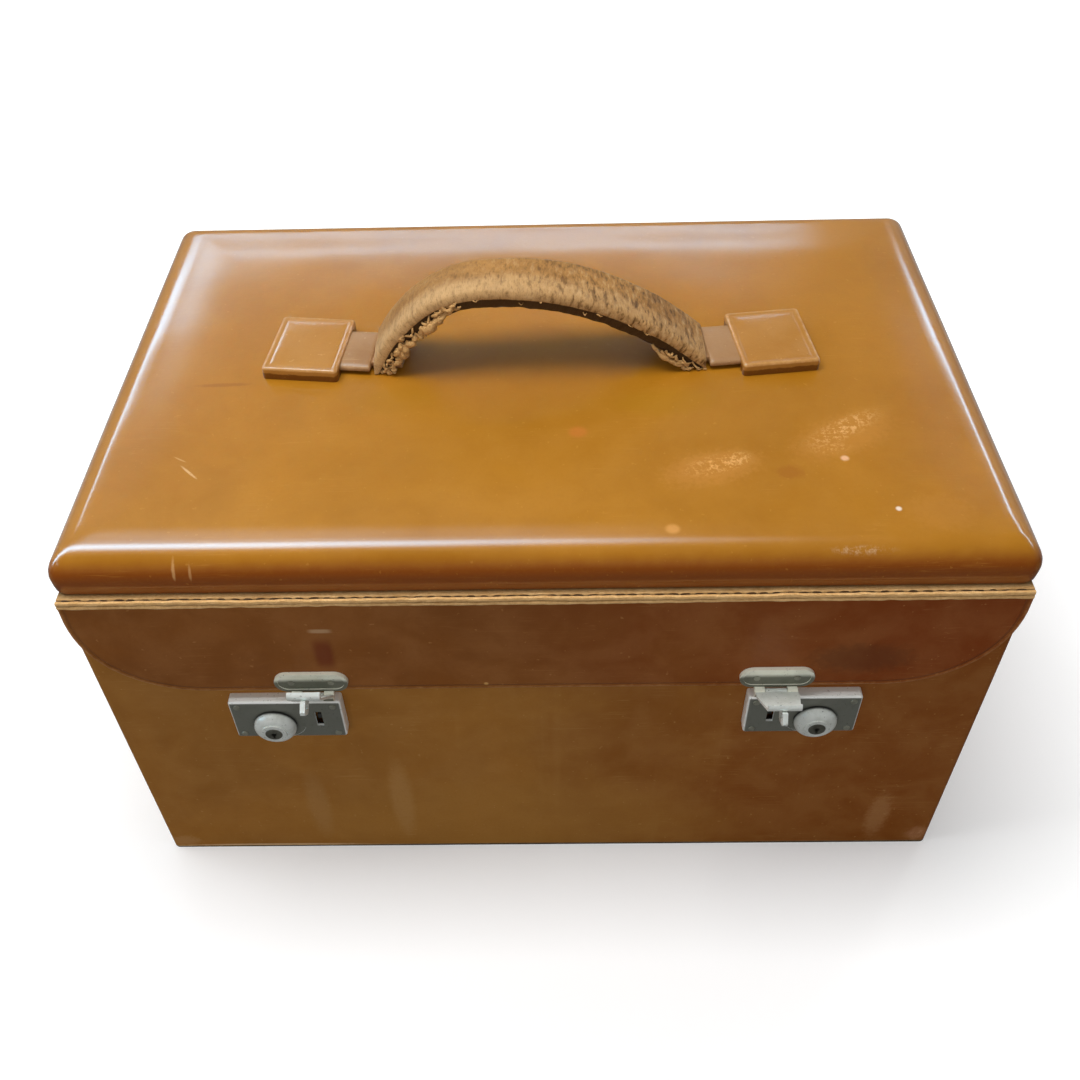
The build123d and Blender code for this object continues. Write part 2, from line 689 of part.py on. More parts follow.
def hasp(raised):
    """The hasp, with its curled finger lip and its staple, turned up from closed."""
    inner = lock_depth + hasp_clearance - hasp_axis_out
    outer = inner + hasp_sheet
    lip_z = hasp_lip_radius - hasp_length
    top_half, lip_half = hasp_width / 2, hasp_lip_width / 2
    sweep_gap = hasp_knuckle_radius + hasp_knuckle_fit
    plate = block(-top_half, top_half, lip_z, -sweep_gap, inner, outer)
    plate += block(-hasp_knuckle / 2, hasp_knuckle / 2, -sweep_gap, 0, inner, outer)
    lip_centre = outer + hasp_lip_radius - hasp_sheet
    curl = Circle(hasp_lip_radius) - Circle(hasp_lip_radius - hasp_sheet)
    curl &= Pos(-hasp_lip_radius / 2, -hasp_lip_radius / 2) * Rectangle(hasp_lip_radius, hasp_lip_radius)
    curl += Pos(hasp_lip_reach / 2, hasp_sheet / 2 - hasp_lip_radius) * Rectangle(
        hasp_lip_reach, hasp_sheet)
    lip = extrude(curl, top_half, both=True)
    plate += Pos(0, lip_z, lip_centre) * Rot(0, -90, 0) * lip
    outline = Polyline((-top_half, hasp_knuckle_radius), (-top_half, -hasp_knuckle_radius * 3),
                       (-lip_half, lip_z), (-lip_half, -hasp_length), (lip_half, -hasp_length),
                       (lip_half, lip_z), (top_half, -hasp_knuckle_radius * 3),
                       (top_half, hasp_knuckle_radius), close=True)
    plan = make_face(outline)
    plate &= Pos(0, 0, inner) * extrude(plan, hasp_length)
    plate += knuckle(-hasp_knuckle / 2, hasp_knuckle / 2)
    staple = block(-staple_thickness / 2, staple_thickness / 2, -staple_drop - staple_height / 2,
                   -staple_drop + staple_height / 2, inner - staple_reach, inner)
    staple = chamfer(staple.edges().filter_by(Axis.X).group_by(Axis.Z)[0], staple_tip / 2)
    eye_top = inner - hasp_clearance - lock_sheet
    staple -= block(-staple_thickness / 2, staple_thickness / 2, -staple_drop - staple_eye_height / 2,
                    -staple_drop + staple_eye_height / 2, inner - staple_reach + staple_tip, eye_top)
    return at_hasp(raised) * (plate + staple - pin_bore())


def hasp_pin():
    """The pin through the hasp's barrel."""
    return at_hasp() * Pos(-hasp_width / 2, 0, 0) * Rot(0, 90, 0) * rod(hasp_pin_radius, hasp_width)


# ---------------------------------------------------------------- carrying handle
def handle_end(side):
    """The frame of one end of the handle: local X runs outward from the grip's end."""
    turn = handle_skew if side > 0 else 180 - handle_skew
    return Pos(side * grip_half_length, handle_y, lid_top) * Rot(0, 0, turn)


def handle_tab(side):
    """A leather pocket on the lid that the tongue slides in."""
    level = tab_height - tab_roof
    tab = block(tab_from_grip, tab_from_grip + tab_length, -tab_width / 2, tab_width / 2, 0, tab_height)
    tab = fillet(tab.edges().group_by(Axis.Z)[-1] + tab.edges().filter_by(Axis.Z), tab_edge_radius)
    pocket_half = tongue_width / 2 + tongue_fit
    pocket_end = tab_from_grip + tongue_in_tab + tongue_travel + tongue_fit
    tab -= block(tab_from_grip, pocket_end, -pocket_half, pocket_half, tab_floor, level)
    return handle_end(side) * tab


def tongue_levels():
    """The tongue's lower and upper faces above the lid."""
    return tab_floor + tongue_fit, tab_height - tab_roof - tongue_fit


def handle_tongue(side):
    """The strap end between tab and grip, with the core strap that runs into the grip."""
    low, high = tongue_levels()
    middle = (low + high) / 2
    tongue = block(grip_clearance, tab_from_grip + tongue_in_tab, -tongue_width / 2,
                   tongue_width / 2, low, high)
    tongue = fillet(tongue.edges().filter_by(Axis.X), tongue_edge_radius)
    tongue += block(-core_in_grip, grip_clearance, -core_width / 2, core_width / 2,
                    middle - core_thickness / 2, middle + core_thickness / 2)
    return handle_end(side) * tongue


def handle_grip():
    """The arched grip: steep at its left end and easy at its right, as a hand has pulled it."""
    steep, easy = -grip_half_length, grip_half_length
    path = FilletPolyline((steep + 1.0, -2.9), (steep + 12.1, 18.9), (steep + 33.5, grip_rise),
                          (easy - 58.0, grip_rise), (easy - 19.3, 15.8), (easy + 0.5, -4.7),
                          radius=grip_bends)
    path = Plane(origin=(0, handle_y, lid_top), x_dir=(1, 0, 0), z_dir=(0, -1, 0)) * path
    start = Plane(origin=path @ 0, x_dir=(0, 1, 0), z_dir=path % 0)
    grip = sweep(start * RectangleRounded(grip_width, grip_thickness, grip_edge_radius), path)
    above = block(-lid_x, lid_x, lid_front, back_y, lid_top + grip_clearance, 2 * lid_top)
    grip &= above
    middle = sum(tongue_levels()) / 2
    half_y, half_z = core_width / 2 + core_fit, core_thickness / 2 + core_fit
    for side in (-1, 1):
        grip -= handle_end(side) * block(0, tab_from_grip, -tab_width, tab_width, -tab_height,
                                         10 * tab_height)
        grip -= handle_end(side) * block(-core_in_grip - core_fit, core_in_grip, -half_y, half_y,
                                         middle - half_z, middle + half_z)
    return grip


# ---------------------------------------------------------------- toilet fittings
def fitting_sizes(name):
    """Radius, height and neck radius of a bottle or a jar."""
    if name.startswith("scent"):
        return bottle_radius, bottle_height, bottle_neck
    return jar_radius, jar_height, jar_neck


def fitting_places():
    """Each fitting's name and X, with the wells evenly spaced along the rack."""
    pitch = 2 * rack_half_width / len(fitting_names)
    return [(name, (place + 0.5) * pitch - rack_half_width)
            for place, name in enumerate(fitting_names)]


def bottle_rack():
    """The rack along the front wall, with a round well for each fitting."""
    y0 = lined_front + rack_front_gap
    y1, z0 = y0 + rack_depth, lined_floor
    rack = block(-rack_half_width, rack_half_width, y0, y1, z0, z0 + rack_height)
    rack -= block(-rack_half_width + rack_sheet, rack_half_width - rack_sheet, y0 + rack_sheet,
                  y1 - rack_sheet, z0, z0 + rack_height - rack_sheet)
    for name, x in fitting_places():
        well = rod(fitting_sizes(name)[0] + well_fit, rack_height)
        rack -= Pos(x, y0 + rack_depth / 2, z0) * well
    return rack


def glass_vessel(radius, height, neck):
    """A hollow glass body with a round shoulder and a plain neck."""
    body = rod(radius, height)
    body = fillet(body.edges().sort_by(Axis.Z)[-1], shoulder_radius)
    body = fillet(body.edges().sort_by(Axis.Z)[0], glass_wall / 2)
    body += rod(neck, height + neck_height)
    hollow = Pos(0, 0, glass_base) * rod(radius - glass_wall, height - glass_base - glass_wall)
    hollow = fillet(hollow.edges().sort_by(Axis.Z)[-1], shoulder_radius - glass_wall / 2)
    return body - hollow - Pos(0, 0, glass_base) * rod(neck - neck_wall, height + neck_height)


def vessel_cap(neck):
    """A pressed cap that sits on the shoulder over the neck."""
    bore = neck + cap_fit
    cap = rod(bore + cap_wall, neck_height + cap_top)
    cap = fillet(cap.edges().sort_by(Axis.Z)[-1], cap_wall)
    return cap - rod(bore, neck_height + cap_fit)


def toilet_fittings():
    """The bottles and jars in the rack, each with its cap."""
    nodes = {}
    y = lined_front + rack_front_gap + rack_depth / 2
    for name, x in fitting_places():
        radius, height, neck = fitting_sizes(name)
        place = Pos(x, y, lined_floor)
        nodes[name] = place * glass_vessel(radius, height, neck)
        nodes[name + "_cap"] = place * Pos(0, 0, height) * vessel_cap(neck)
    return nodes


# ---------------------------------------------------------------- assembly
def assemble():
    """Every node of the case, by name."""
    (pivot_y, pivot_z), (stud_y, stud_z) = stay_places()
    body_screw_z = hinge_z - (hinge_barrel_radius + hinge_body_leaf) / 2
    lid_screw_z = hinge_z + (hinge_barrel_radius + hinge_lid_leaf) / 2
    nodes = boards()
    nodes["back_board"] = drilled(nodes["back_board"], body_screw_z)
    nodes["front_board"] = rivet_holes(nodes["front_board"])
    for side in ("left_board", "right_board"):
        nodes[side] = stay_hole(nodes[side], stud_y, stud_z, lined_x)
    nodes["body_leather"] = rivet_holes(drilled(body_leather(), body_screw_z))
    nodes["base_leather"] = base_panel()
    nodes["body_lining"] = stay_hole(body_lining(), stud_y, stud_z, lined_x)
    nodes["rim_lip"] = rim_lip()

    wood = lid_wood()
    wood["lid_frame"] = stay_hole(drilled(wood["lid_frame"], lid_screw_z), pivot_y, pivot_z,
                                  frame_inner_x)
    nodes.update(wood)
    nodes["lid_leather"] = drilled(lid_leather(), lid_screw_z)
    nodes["front_flap"] = front_flap()
    nodes["lid_lining"] = lid_lining()
    nodes.update(lid_mirror())

    nodes.update(lid_hinges(body_screw_z, lid_screw_z))
    nodes["hinge_screws_body"] = both_sides(screws(body_screw_z))
    nodes["hinge_screws_lid"] = both_sides(screws(lid_screw_z))
    nodes.update(pair("stay_arm", stay_arm()))
    nodes.update(pair("stay_pivot", stay_rivet(pivot_y, pivot_z, frame_inner_x, stay_shank)))
    nodes.update(pair("stay_stud", stay_rivet(stud_y, stud_z, lined_x, stay_shank)))
    nodes.update(pair("lock_case", lock_case()))
    nodes.update(pair("lock_slide", lock_slide()))
    nodes.update(pair("key_barrel", key_barrel()))
    nodes["lock_rivets"] = both_sides(lock_rivets())
    nodes.update(pair("hasp_plate", hasp_plate()))
    nodes.update(pair("hasp_pin", hasp_pin()))
    nodes["hasp_rivets"] = both_sides(hasp_rivets())
    nodes["hasp_left"] = left_of(hasp(hasp_raised_left))
    nodes["hasp_right"] = hasp(hasp_raised_right)
    for name, side in (("left", -1), ("right", 1)):
        nodes["handle_tab_" + name] = handle_tab(side)
        nodes["handle_tongue_" + name] = handle_tongue(side)
    nodes["handle_grip"] = handle_grip()
    nodes["bottle_rack"] = bottle_rack()
    nodes.update(toilet_fittings())
    return nodes


os.makedirs("parts", exist_ok=True)
for node_name, node_shape in assemble().items():
    export_step(node_shape, os.path.join("parts", node_name + ".step"))
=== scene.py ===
import json
import logging
import math
import random
from collections.abc import Callable, Iterable, Sequence
from dataclasses import dataclass, field
from enum import Enum

import bmesh
import bpy
from mathutils import Matrix, Vector, noise


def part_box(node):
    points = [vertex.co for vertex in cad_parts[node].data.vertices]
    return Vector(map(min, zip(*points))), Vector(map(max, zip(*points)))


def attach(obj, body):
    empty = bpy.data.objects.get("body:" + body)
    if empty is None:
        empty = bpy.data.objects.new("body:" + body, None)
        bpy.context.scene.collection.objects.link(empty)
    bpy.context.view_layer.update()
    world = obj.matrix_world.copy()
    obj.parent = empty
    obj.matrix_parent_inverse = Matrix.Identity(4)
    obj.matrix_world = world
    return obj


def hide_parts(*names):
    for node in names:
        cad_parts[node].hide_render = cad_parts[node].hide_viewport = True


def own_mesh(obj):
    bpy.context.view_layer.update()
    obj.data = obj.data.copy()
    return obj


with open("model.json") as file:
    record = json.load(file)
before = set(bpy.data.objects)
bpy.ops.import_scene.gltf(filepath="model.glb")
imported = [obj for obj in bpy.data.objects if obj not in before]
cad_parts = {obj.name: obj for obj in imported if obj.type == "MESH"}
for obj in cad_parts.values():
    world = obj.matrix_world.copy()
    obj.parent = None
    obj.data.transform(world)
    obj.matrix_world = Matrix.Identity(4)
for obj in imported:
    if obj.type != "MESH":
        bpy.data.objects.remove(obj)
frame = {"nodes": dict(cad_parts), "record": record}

# The dressed model of a leather travelling dressing case. Lengths are in millimetres in the
# frame of the solids (X right, Y back, Z up), and become metres where a mesh or lamp is made.
# In the shaders, a noise's scale is in waves per metre.

MM = 0.001
WHITE = (1.0, 1.0, 1.0, 1.0)
# Near-black painted shade for metal inside a lock's slot.
SLOT_SHADE = (14, 12, 10)
AGED_SILVER = (120, 112, 98)
LID_TOP, THROUGH_LID = 205.0, 20.0
FRONT, LID_FRONT, FLAP_FRONT, THROUGH_FRONT = -117.0, -118.0, -120.0, 30.0
log = logging.getLogger("dressing_case")

Colour = tuple[float, float, float]
Place = tuple[float, float, float]
Ring = list[int]
Material = bpy.types.Material
Socket = bpy.types.NodeSocket
Value = float | Sequence[float] | Socket
Made = dict[str, Socket]


class Slot(Enum):
    """The record's material slots."""

    TAN = "tan_leather"
    BROWN = "brown_leather"
    RAW = "raw_leather"


class Body(Enum):
    """The bodies that dressed pieces ride on."""

    LID = "lid"
    TONGUE_LEFT = "tongue_left"
    TONGUE_RIGHT = "tongue_right"


class Side(Enum):
    """The two ends of the case."""

    LEFT = -1
    RIGHT = 1

    @property
    def word(self) -> str:
        """The side's name as node names have it."""
        return self.name.lower()


def srgb(red: float, green: float, blue: float) -> tuple[float, float, float, float]:
    """A linear colour from display values of 0 to 255.

    Args:
        red: The red.
        green: The green.
        blue: The blue.

    Returns:
        The colour, with an alpha of 1.
    """
    linear = [(v / 255 / 12.92) if v <= 10 else ((v / 255 + 0.055) / 1.055) ** 2.4
              for v in (red, green, blue)]
    return (*linear, 1.0)


def grey(level: float) -> tuple[float, float, float, float]:
    """A linear grey."""
    return level, level, level, 1.0


def dim(colour: Colour, share: float) -> Colour:
    """A colour's display values, all times a share."""
    return tuple(v * share for v in colour)


def smooth(low: float, high: float, value: float) -> float:
    """A smooth step from 0 at low to 1 at high."""
    share = min(1.0, max(0.0, (value - low) / (high - low)))
    return share * share * (3 - 2 * share)


def corners(node: str) -> tuple[Vector, Vector]:
    """A solid's lowest and highest corner, in millimetres."""
    low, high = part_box(node)
    return low / MM, high / MM


def placed(name: str, data: bpy.types.ID) -> bpy.types.Object:
    """A new object in the scene.

    Args:
        name: Its name.
        data: Its mesh, lamp or camera.

    Returns:
        The object.
    """
    made = bpy.data.objects.new(name, data)
    bpy.context.scene.collection.objects.link(made)
    return made


# ------------------------------ shading
class Graph:
    """A node tree under construction."""

    def __init__(self, tree: bpy.types.NodeTree) -> None:
        """Takes the tree that nodes are added to."""
        self.tree = tree

    @classmethod
    def blank(cls, owner: Material | bpy.types.World) -> "Graph":
        """Empties the tree of a new material or world, and returns its graph.

        Args:
            owner: The material or world.

        Returns:
            Its graph.
        """
        owner.use_nodes = True
        owner.node_tree.nodes.clear()
        return cls(owner.node_tree)

    def _set(self, socket: Socket, value: Value) -> None:
        """Links a socket to an input, or sets the input's constant.

        Args:
            socket: The input.
            value: The socket or the constant.
        """
        if isinstance(value, Socket):
            self.tree.links.new(value, socket)
        else:
            socket.default_value = value

    def node(self, kind: str, values: dict[str | int, Value] | None = None,
             **settings: object) -> bpy.types.Node:
        """Adds a node.

        Args:
            kind: The node's type, without the words that all shader nodes share.
            values: A constant or a socket for each named or numbered input.
            **settings: The node's own properties.

        Returns:
            The new node.
        """
        made = self.tree.nodes.new(kind if kind.startswith("Node") else f"ShaderNode{kind}")
        for name, setting in settings.items():
            setattr(made, name, setting)
        for key, value in (values or {}).items():
            self._set(made.inputs[key], value)
        return made

    def math(self, operation: str, a: Value, b: Value = 0.0) -> Socket:
        """The result of a Math node."""
        return self.node("Math", {0: a, 1: b}, operation=operation).outputs[0]

    def plus(self, a: Value, b: Value) -> Socket:
        """The sum of two values."""
        return self.math("ADD", a, b)

    def minus(self, a: Value, b: Value) -> Socket:
        """What is left of a without b."""
        return self.math("SUBTRACT", a, b)

    def times(self, a: Value, b: Value) -> Socket:
        """The product of two values."""
        return self.math("MULTIPLY", a, b)

    def most(self, a: Value, b: Value) -> Socket:
        """The larger of two values."""
        return self.math("MAXIMUM", a, b)

    def plain(self, value: Value) -> Socket:
        """The size of a value, without its sign."""
        return self.math("ABSOLUTE", value)

    def vector(self, operation: str, a: Value, b: Value | None = None) -> Socket:
        """The result of a Vector Math node: a vector, or a value for a length.

        Args:
            operation: What the node does.
            a: The first vector.
            b: The second vector, or the factor of a scale.

        Returns:
            The vector or the value.
        """
        values = {0: a} if b is None else {0: a, "Scale" if operation == "SCALE" else 1: b}
        made = self.node("VectorMath", values, operation=operation)
        return made.outputs["Value" if operation == "LENGTH" else 0]

    def between(self, share: Value, a: Value, b: Value) -> Socket:
        """A blend of two values."""
        return self.node("Mix", {0: share, 2: a, 3: b}).outputs[0]

    def mix(self, share: Value, a: Value, b: Value) -> Socket:
        """A blend of two colours."""
        return self.node("Mix", {0: share, 6: a, 7: b}, data_type="RGBA").outputs[2]

    def tint(self, colour: Value, other: Colour, share: Value, amount: float | None = None) -> Socket:
        """A colour taken towards another one's display values.

        Args:
            colour: The colour underneath.
            other: The colour that it is taken to.
            share: How far, from 0 to 1.
            amount: What the share is multiplied by.

        Returns:
            The new colour.
        """
        if amount is not None:
            share = self.times(share, amount)
        return self.mix(share, colour, srgb(*other))

    def step(self, value: Value, low: float, high: float) -> Socket:
        """A smooth step from 0 at low to 1 at high, or down if low is above high.

        Args:
            value: What is looked at.
            low: Where the step is 0.
            high: Where it is 1.

        Returns:
            The step.
        """
        start, end, first, last = (low, high, 0.0, 1.0) if low < high else (high, low, 1.0, 0.0)
        return self.node("MapRange", {0: value, 1: start, 2: end, 3: first, 4: last},
                         interpolation_type="SMOOTHSTEP").outputs[0]

    def line(self, value: Value, middle: float, rim: float, core: float) -> Socket:
        """1 where a value is within core of a middle, and 0 beyond rim."""
        return self.step(self.plain(self.minus(value, middle)), rim, core)

    def noise(self, vector: Value, scale: Value, detail: float = 3.0, roughness: float = 0.55,
              distortion: float = 0.0) -> Socket:
        """The value of a Noise Texture."""
        return self.node("TexNoise", {"Vector": vector, "Scale": scale, "Detail": detail,
                                      "Roughness": roughness, "Distortion": distortion}).outputs["Fac"]

    def coordinates(self, kind: str) -> Socket:
        """One of the Texture Coordinate node's vectors."""
        return self.node("TexCoord").outputs[kind]

    def axes(self, vector: Value) -> tuple[Socket, Socket, Socket]:
        """A vector's three parts."""
        return tuple(self.node("SeparateXYZ", {0: vector}).outputs)

    def attribute(self, name: str, kind: str) -> Socket:
        """An attribute of the mesh, as a value (Fac) or a vector (Vector)."""
        return self.node("Attribute", attribute_name=name).outputs[kind]

    def stretch(self, vector: Value, scale: Sequence[float], turn: float = 0.0) -> Socket:
        """The vector, turned about Z by an angle and scaled by axis."""
        return self.node("Mapping", {"Vector": vector, "Rotation": (0.0, 0.0, turn),
                                     "Scale": tuple(scale)}).outputs[0]

    def bump(self, height: Value, depth: float, under: Value | None = None) -> Socket:
        """A normal from a height of 0 to 1 that is depth millimetres deep.

        Args:
            height: The height.
            depth: The depth.
            under: The normal that it is laid over.

        Returns:
            The normal.
        """
        values: dict[str | int, Value] = {"Height": height, "Strength": 1.0, "Distance": depth * MM}
        if under is not None:
            values["Normal"] = under
        return self.node("Bump", values).outputs[0]

    def use(self, group: bpy.types.NodeTree, **values: Value) -> bpy.types.bpy_prop_collection:
        """Places a shared effect and returns its outputs; an underscore stands for a space.

        Args:
            group: The effect.
            **values: Its inputs' constants or sockets.

        Returns:
            Its outputs.
        """
        made = self.tree.nodes.new("ShaderNodeGroup")
        made.node_tree = group
        for name, value in values.items():
            self._set(made.inputs[name.replace("_", " ")], value)
        return made.outputs


class Effects:
    """The shader node groups that several finishes share, each built once."""

    def __init__(self) -> None:
        """Builds every group."""
        none, whole = (0.0, 0.0, 0.0), (1.0, 1.0, 1.0)
        self.patch = self._group("Soft patch", self._patch, ("Mask",), Centre=none, Half_size=whole,
                                 Turn=0.0, Ragged=0.0, Square=0.0, Flecked=0.0)
        self.grain = self._group("Hide grain", self._grain, ("Height", "Pores"), Cells=900.0)
        self.scratches = self._group("Fine scratches", self._scratches, ("Mask",), Amount=0.5)
        self.mottle = self._group("Mottling", self._mottle, ("Mask",), Scale=12.0)
        self.fibres = self._group("Raw fibres", self._fibres, ("Height", "Mask"), Scale=300.0)
        self.weave = self._group("Ribbed weave", self._weave, ("Height", "Mask"), Ribs=900.0)
        self.tarnish = self._group("Tarnish", self._tarnish, ("Mask", "Spots"), Scale=180.0)

    @staticmethod
    def _group(name: str, fill: Callable[..., Made], outputs: Iterable[str],
               **inputs: Value) -> bpy.types.NodeTree:
        """Makes a group that takes a vector first.

        Args:
            name: The group's name.
            fill: Adds the group's nodes, given its graph and its inputs.
            outputs: The names of the outputs, all values.
            **inputs: Each other input's value; an underscore in a name stands for a space.

        Returns:
            The group.
        """
        tree = bpy.data.node_groups.new(name, "ShaderNodeTree")
        for label, value in {"Vector": (0.0, 0.0, 0.0), **inputs}.items():
            kind = "NodeSocketFloat" if isinstance(value, float) else "NodeSocketVector"
            tree.interface.new_socket(label.replace("_", " "), in_out="INPUT",
                                      socket_type=kind).default_value = value
        for label in outputs:
            tree.interface.new_socket(label, in_out="OUTPUT", socket_type="NodeSocketFloat")
        graph = Graph(tree)
        given = graph.node("NodeGroupInput").outputs
        graph.node("NodeGroupOutput", fill(graph, given["Vector"], *list(given)[1:-1]))
        return tree

    @staticmethod
    def _patch(g: Graph, place: Socket, centre: Socket, half: Socket, turn: Socket, ragged: Socket,
               square: Socket, flecked: Socket) -> Made:
        """An ellipsoid in millimetres with a soft or ragged rim.

        Args:
            g: The graph.
            place: The place on the piece, in metres.
            centre: The ellipsoid's middle.
            half: Its half lengths.
            turn: Its turn about Z.
            ragged: How torn its rim is.
            square: How blunt it is.
            flecked: How far it breaks up.

        Returns:
            The outputs by name.
        """
        offset = g.vector("SUBTRACT", g.vector("SCALE", place, 1 / MM), centre)
        turned = g.node("VectorRotate", {"Vector": offset, "Angle": turn}, rotation_type="AXIS_ANGLE")
        share = g.vector("DIVIDE", turned.outputs[0], half)
        blunt = g.vector("LENGTH", g.vector("MULTIPLY", share, share))
        oval = g.vector("LENGTH", share)
        reach = g.between(square, oval, g.math("SQRT", blunt))
        rough = g.minus(g.noise(place, 420.0, 4.0, 0.7), 0.5)
        reach = g.plus(reach, g.times(rough, ragged))
        flecks = g.step(g.noise(place, 420.0, 5.0, 0.75), 0.47, 0.66)
        flecks = g.between(flecked, 1.0, flecks)
        return {"Mask": g.times(g.step(reach, 1.0, 0.4), flecks)}

    @staticmethod
    def _grain(g: Graph, place: Socket, cells: Socket) -> Made:
        """The fine cells and pores of a dressed hide.

        Args:
            g: The graph.
            place: The place on the piece, in metres.
            cells: The cells per metre.

        Returns:
            The outputs by name.
        """
        bent = g.node("TexNoise", {"Vector": place, "Scale": 260.0, "Detail": 2.0})
        moved = g.vector("SCALE", bent.outputs["Color"], 0.0011)
        cell = g.node("TexVoronoi", {"Vector": g.vector("ADD", place, moved), "Scale": cells},
                      feature="SMOOTH_F1").outputs["Distance"]
        fine = g.noise(place, 2600.0, 2.0)
        return {"Height": g.minus(g.times(fine, 0.35), cell), "Pores": g.step(cell, 0.42, 0.75)}

    @staticmethod
    def _scratches(g: Graph, place: Socket, amount: Socket) -> Made:
        """Hairline scratches in three directions, where an uneven field lets them through.

        Args:
            g: The graph.
            place: The place on the piece, in metres.
            amount: How strong they are.

        Returns:
            The outputs by name.
        """
        total: Value = 0.0
        for turn, along, across in ((0.35, 14.0, 900.0), (-0.9, 22.0, 760.0), (1.7, 18.0, 820.0)):
            lines = g.noise(g.stretch(place, (along, across, across * 0.6), turn), 1.0, 1.0)
            hair = g.line(lines, 0.5, 0.012, 0.002)
            shown = g.step(g.noise(g.stretch(place, (1, 1, 1), turn), 34.0, 2.0), 0.56, 0.7)
            total = g.most(total, g.times(hair, shown))
        return {"Mask": g.times(total, amount)}

    @staticmethod
    def _mottle(g: Graph, place: Socket, scale: Socket) -> Made:
        """Cloudy unevenness."""
        return {"Mask": g.step(g.noise(place, scale, 5.0, 0.62, 0.4), 0.33, 0.68)}

    @staticmethod
    def _fibres(g: Graph, place: Socket, scale: Socket) -> Made:
        """The matted fibres of a cut edge or a flesh side.

        Args:
            g: The graph.
            place: The place on the piece, in metres.
            scale: The waves per metre.

        Returns:
            The outputs by name.
        """
        mat = g.noise(place, scale, 6.0, 0.72, 1.1)
        tufts = g.node("TexVoronoi", {"Vector": place, "Scale": scale, "Randomness": 1.0})
        height = g.plus(mat, g.times(tufts.outputs["Distance"], 0.4))
        return {"Height": height, "Mask": g.step(mat, 0.36, 0.62)}

    @staticmethod
    def _weave(g: Graph, place: Socket, ribs: Socket) -> Made:
        """Upright ribs with fine weft threads, as in a grosgrain or faille silk.

        Args:
            g: The graph.
            place: The place on the piece, in metres.
            ribs: The ribs' turns per metre.

        Returns:
            The outputs by name.
        """
        x, y, z = g.axes(place)
        rib = g.math("SINE", g.times(g.plus(x, y), ribs))
        weft = g.math("SINE", g.times(z, g.times(ribs, 2.6)))
        height = g.plus(rib, g.times(weft, 0.3))
        # The mask marks the rib tops, where the silk paints its sheen.
        return {"Height": g.times(height, 0.4), "Mask": g.step(rib, -0.4, 0.8)}

    @staticmethod
    def _tarnish(g: Graph, place: Socket, scale: Socket) -> Made:
        """Clouds of dull film and small dark spots on plated metal.

        Args:
            g: The graph.
            place: The place on the piece, in metres.
            scale: The waves per metre.

        Returns:
            The outputs by name.
        """
        film = g.noise(place, scale, 5.0, 0.65)
        spots = g.noise(place, 900.0, 2.0)
        return {"Mask": g.step(film, 0.38, 0.66), "Spots": g.step(spots, 0.64, 0.74)}


@dataclass(frozen=True)
class Mark:
    """One worn, stained or touched-up place on a hide.

    Attributes:
        centre: Its place.
        half: Its half lengths along its own axes.
        colour: The colour that it takes the hide to.
        strength: How far it takes it.
        turn: Its turn about Z in degrees.
        ragged: How torn its rim is.
        square: 1 for a blunt outline, 0 for a round one.
        flecked: How far it breaks up into small flecks.
    """

    centre: Place
    half: Place
    colour: Colour
    strength: float
    turn: float = 0.0
    ragged: float = 0.0
    square: float = 0.0
    flecked: float = 0.0

    @classmethod
    def above(cls, x: float, y: float, half_x: float, half_y: float, *look: object,
              **more: float) -> "Mark":
        """A mark on the lid's top, through the whole leather."""
        return cls((x, y, LID_TOP), (half_x, half_y, THROUGH_LID), *look, **more)

    @classmethod
    def ahead(cls, x: float, z: float, half_x: float, half_z: float, *look: object,
              y: float = FRONT, **more: float) -> "Mark":
        """A mark on the front of the case, or of what lies at another depth."""
        return cls((x, y, z), (half_x, THROUGH_FRONT, half_z), *look, **more)


@dataclass(frozen=True)
class Finish:
    """What every finish has: a name and a way to make its material."""

    name: str

    def begin(self) -> tuple[Graph, Socket]:
        """A new material's graph and the place on the piece, in metres."""
        graph = Graph.blank(bpy.data.materials.new(self.name))
        return graph, graph.coordinates("Object")

    @staticmethod
    def end(graph: Graph, colour: Value, roughness: Value, normal: Value,
            **more: Value) -> Material:
        """Closes the graph with a Principled shader and returns the material.

        Args:
            graph: The material's graph.
            colour: Its colour.
            roughness: Its roughness.
            normal: Its normal.
            **more: Other inputs; an underscore in a name stands for a space.

        Returns:
            The material.
        """
        values = {"Base Color": colour, "Roughness": roughness, "Normal": normal}
        values |= {name.replace("_", " "): value for name, value in more.items()}
        shader = graph.node("BsdfPrincipled", values)
        graph.node("OutputMaterial", {"Surface": shader.outputs[0]})
        return next(m for m in bpy.data.materials if m.node_tree == graph.tree)


# Waves per metre of what shows in a hide's colour, in its own surface and in its polish.
CLOUDS, BLOTCHES, SPECKS, FRAYS, RIM = 11.0, 42.0, 520.0, 300.0, 160.0
WAVES, DENTS = 18.0, 190.0
POLISH_WAVES, POLISH_DENTS = 14.0, 420.0
RIM_WANDER = 2.2  # how far the rim of the lower dye wanders, in millimetres


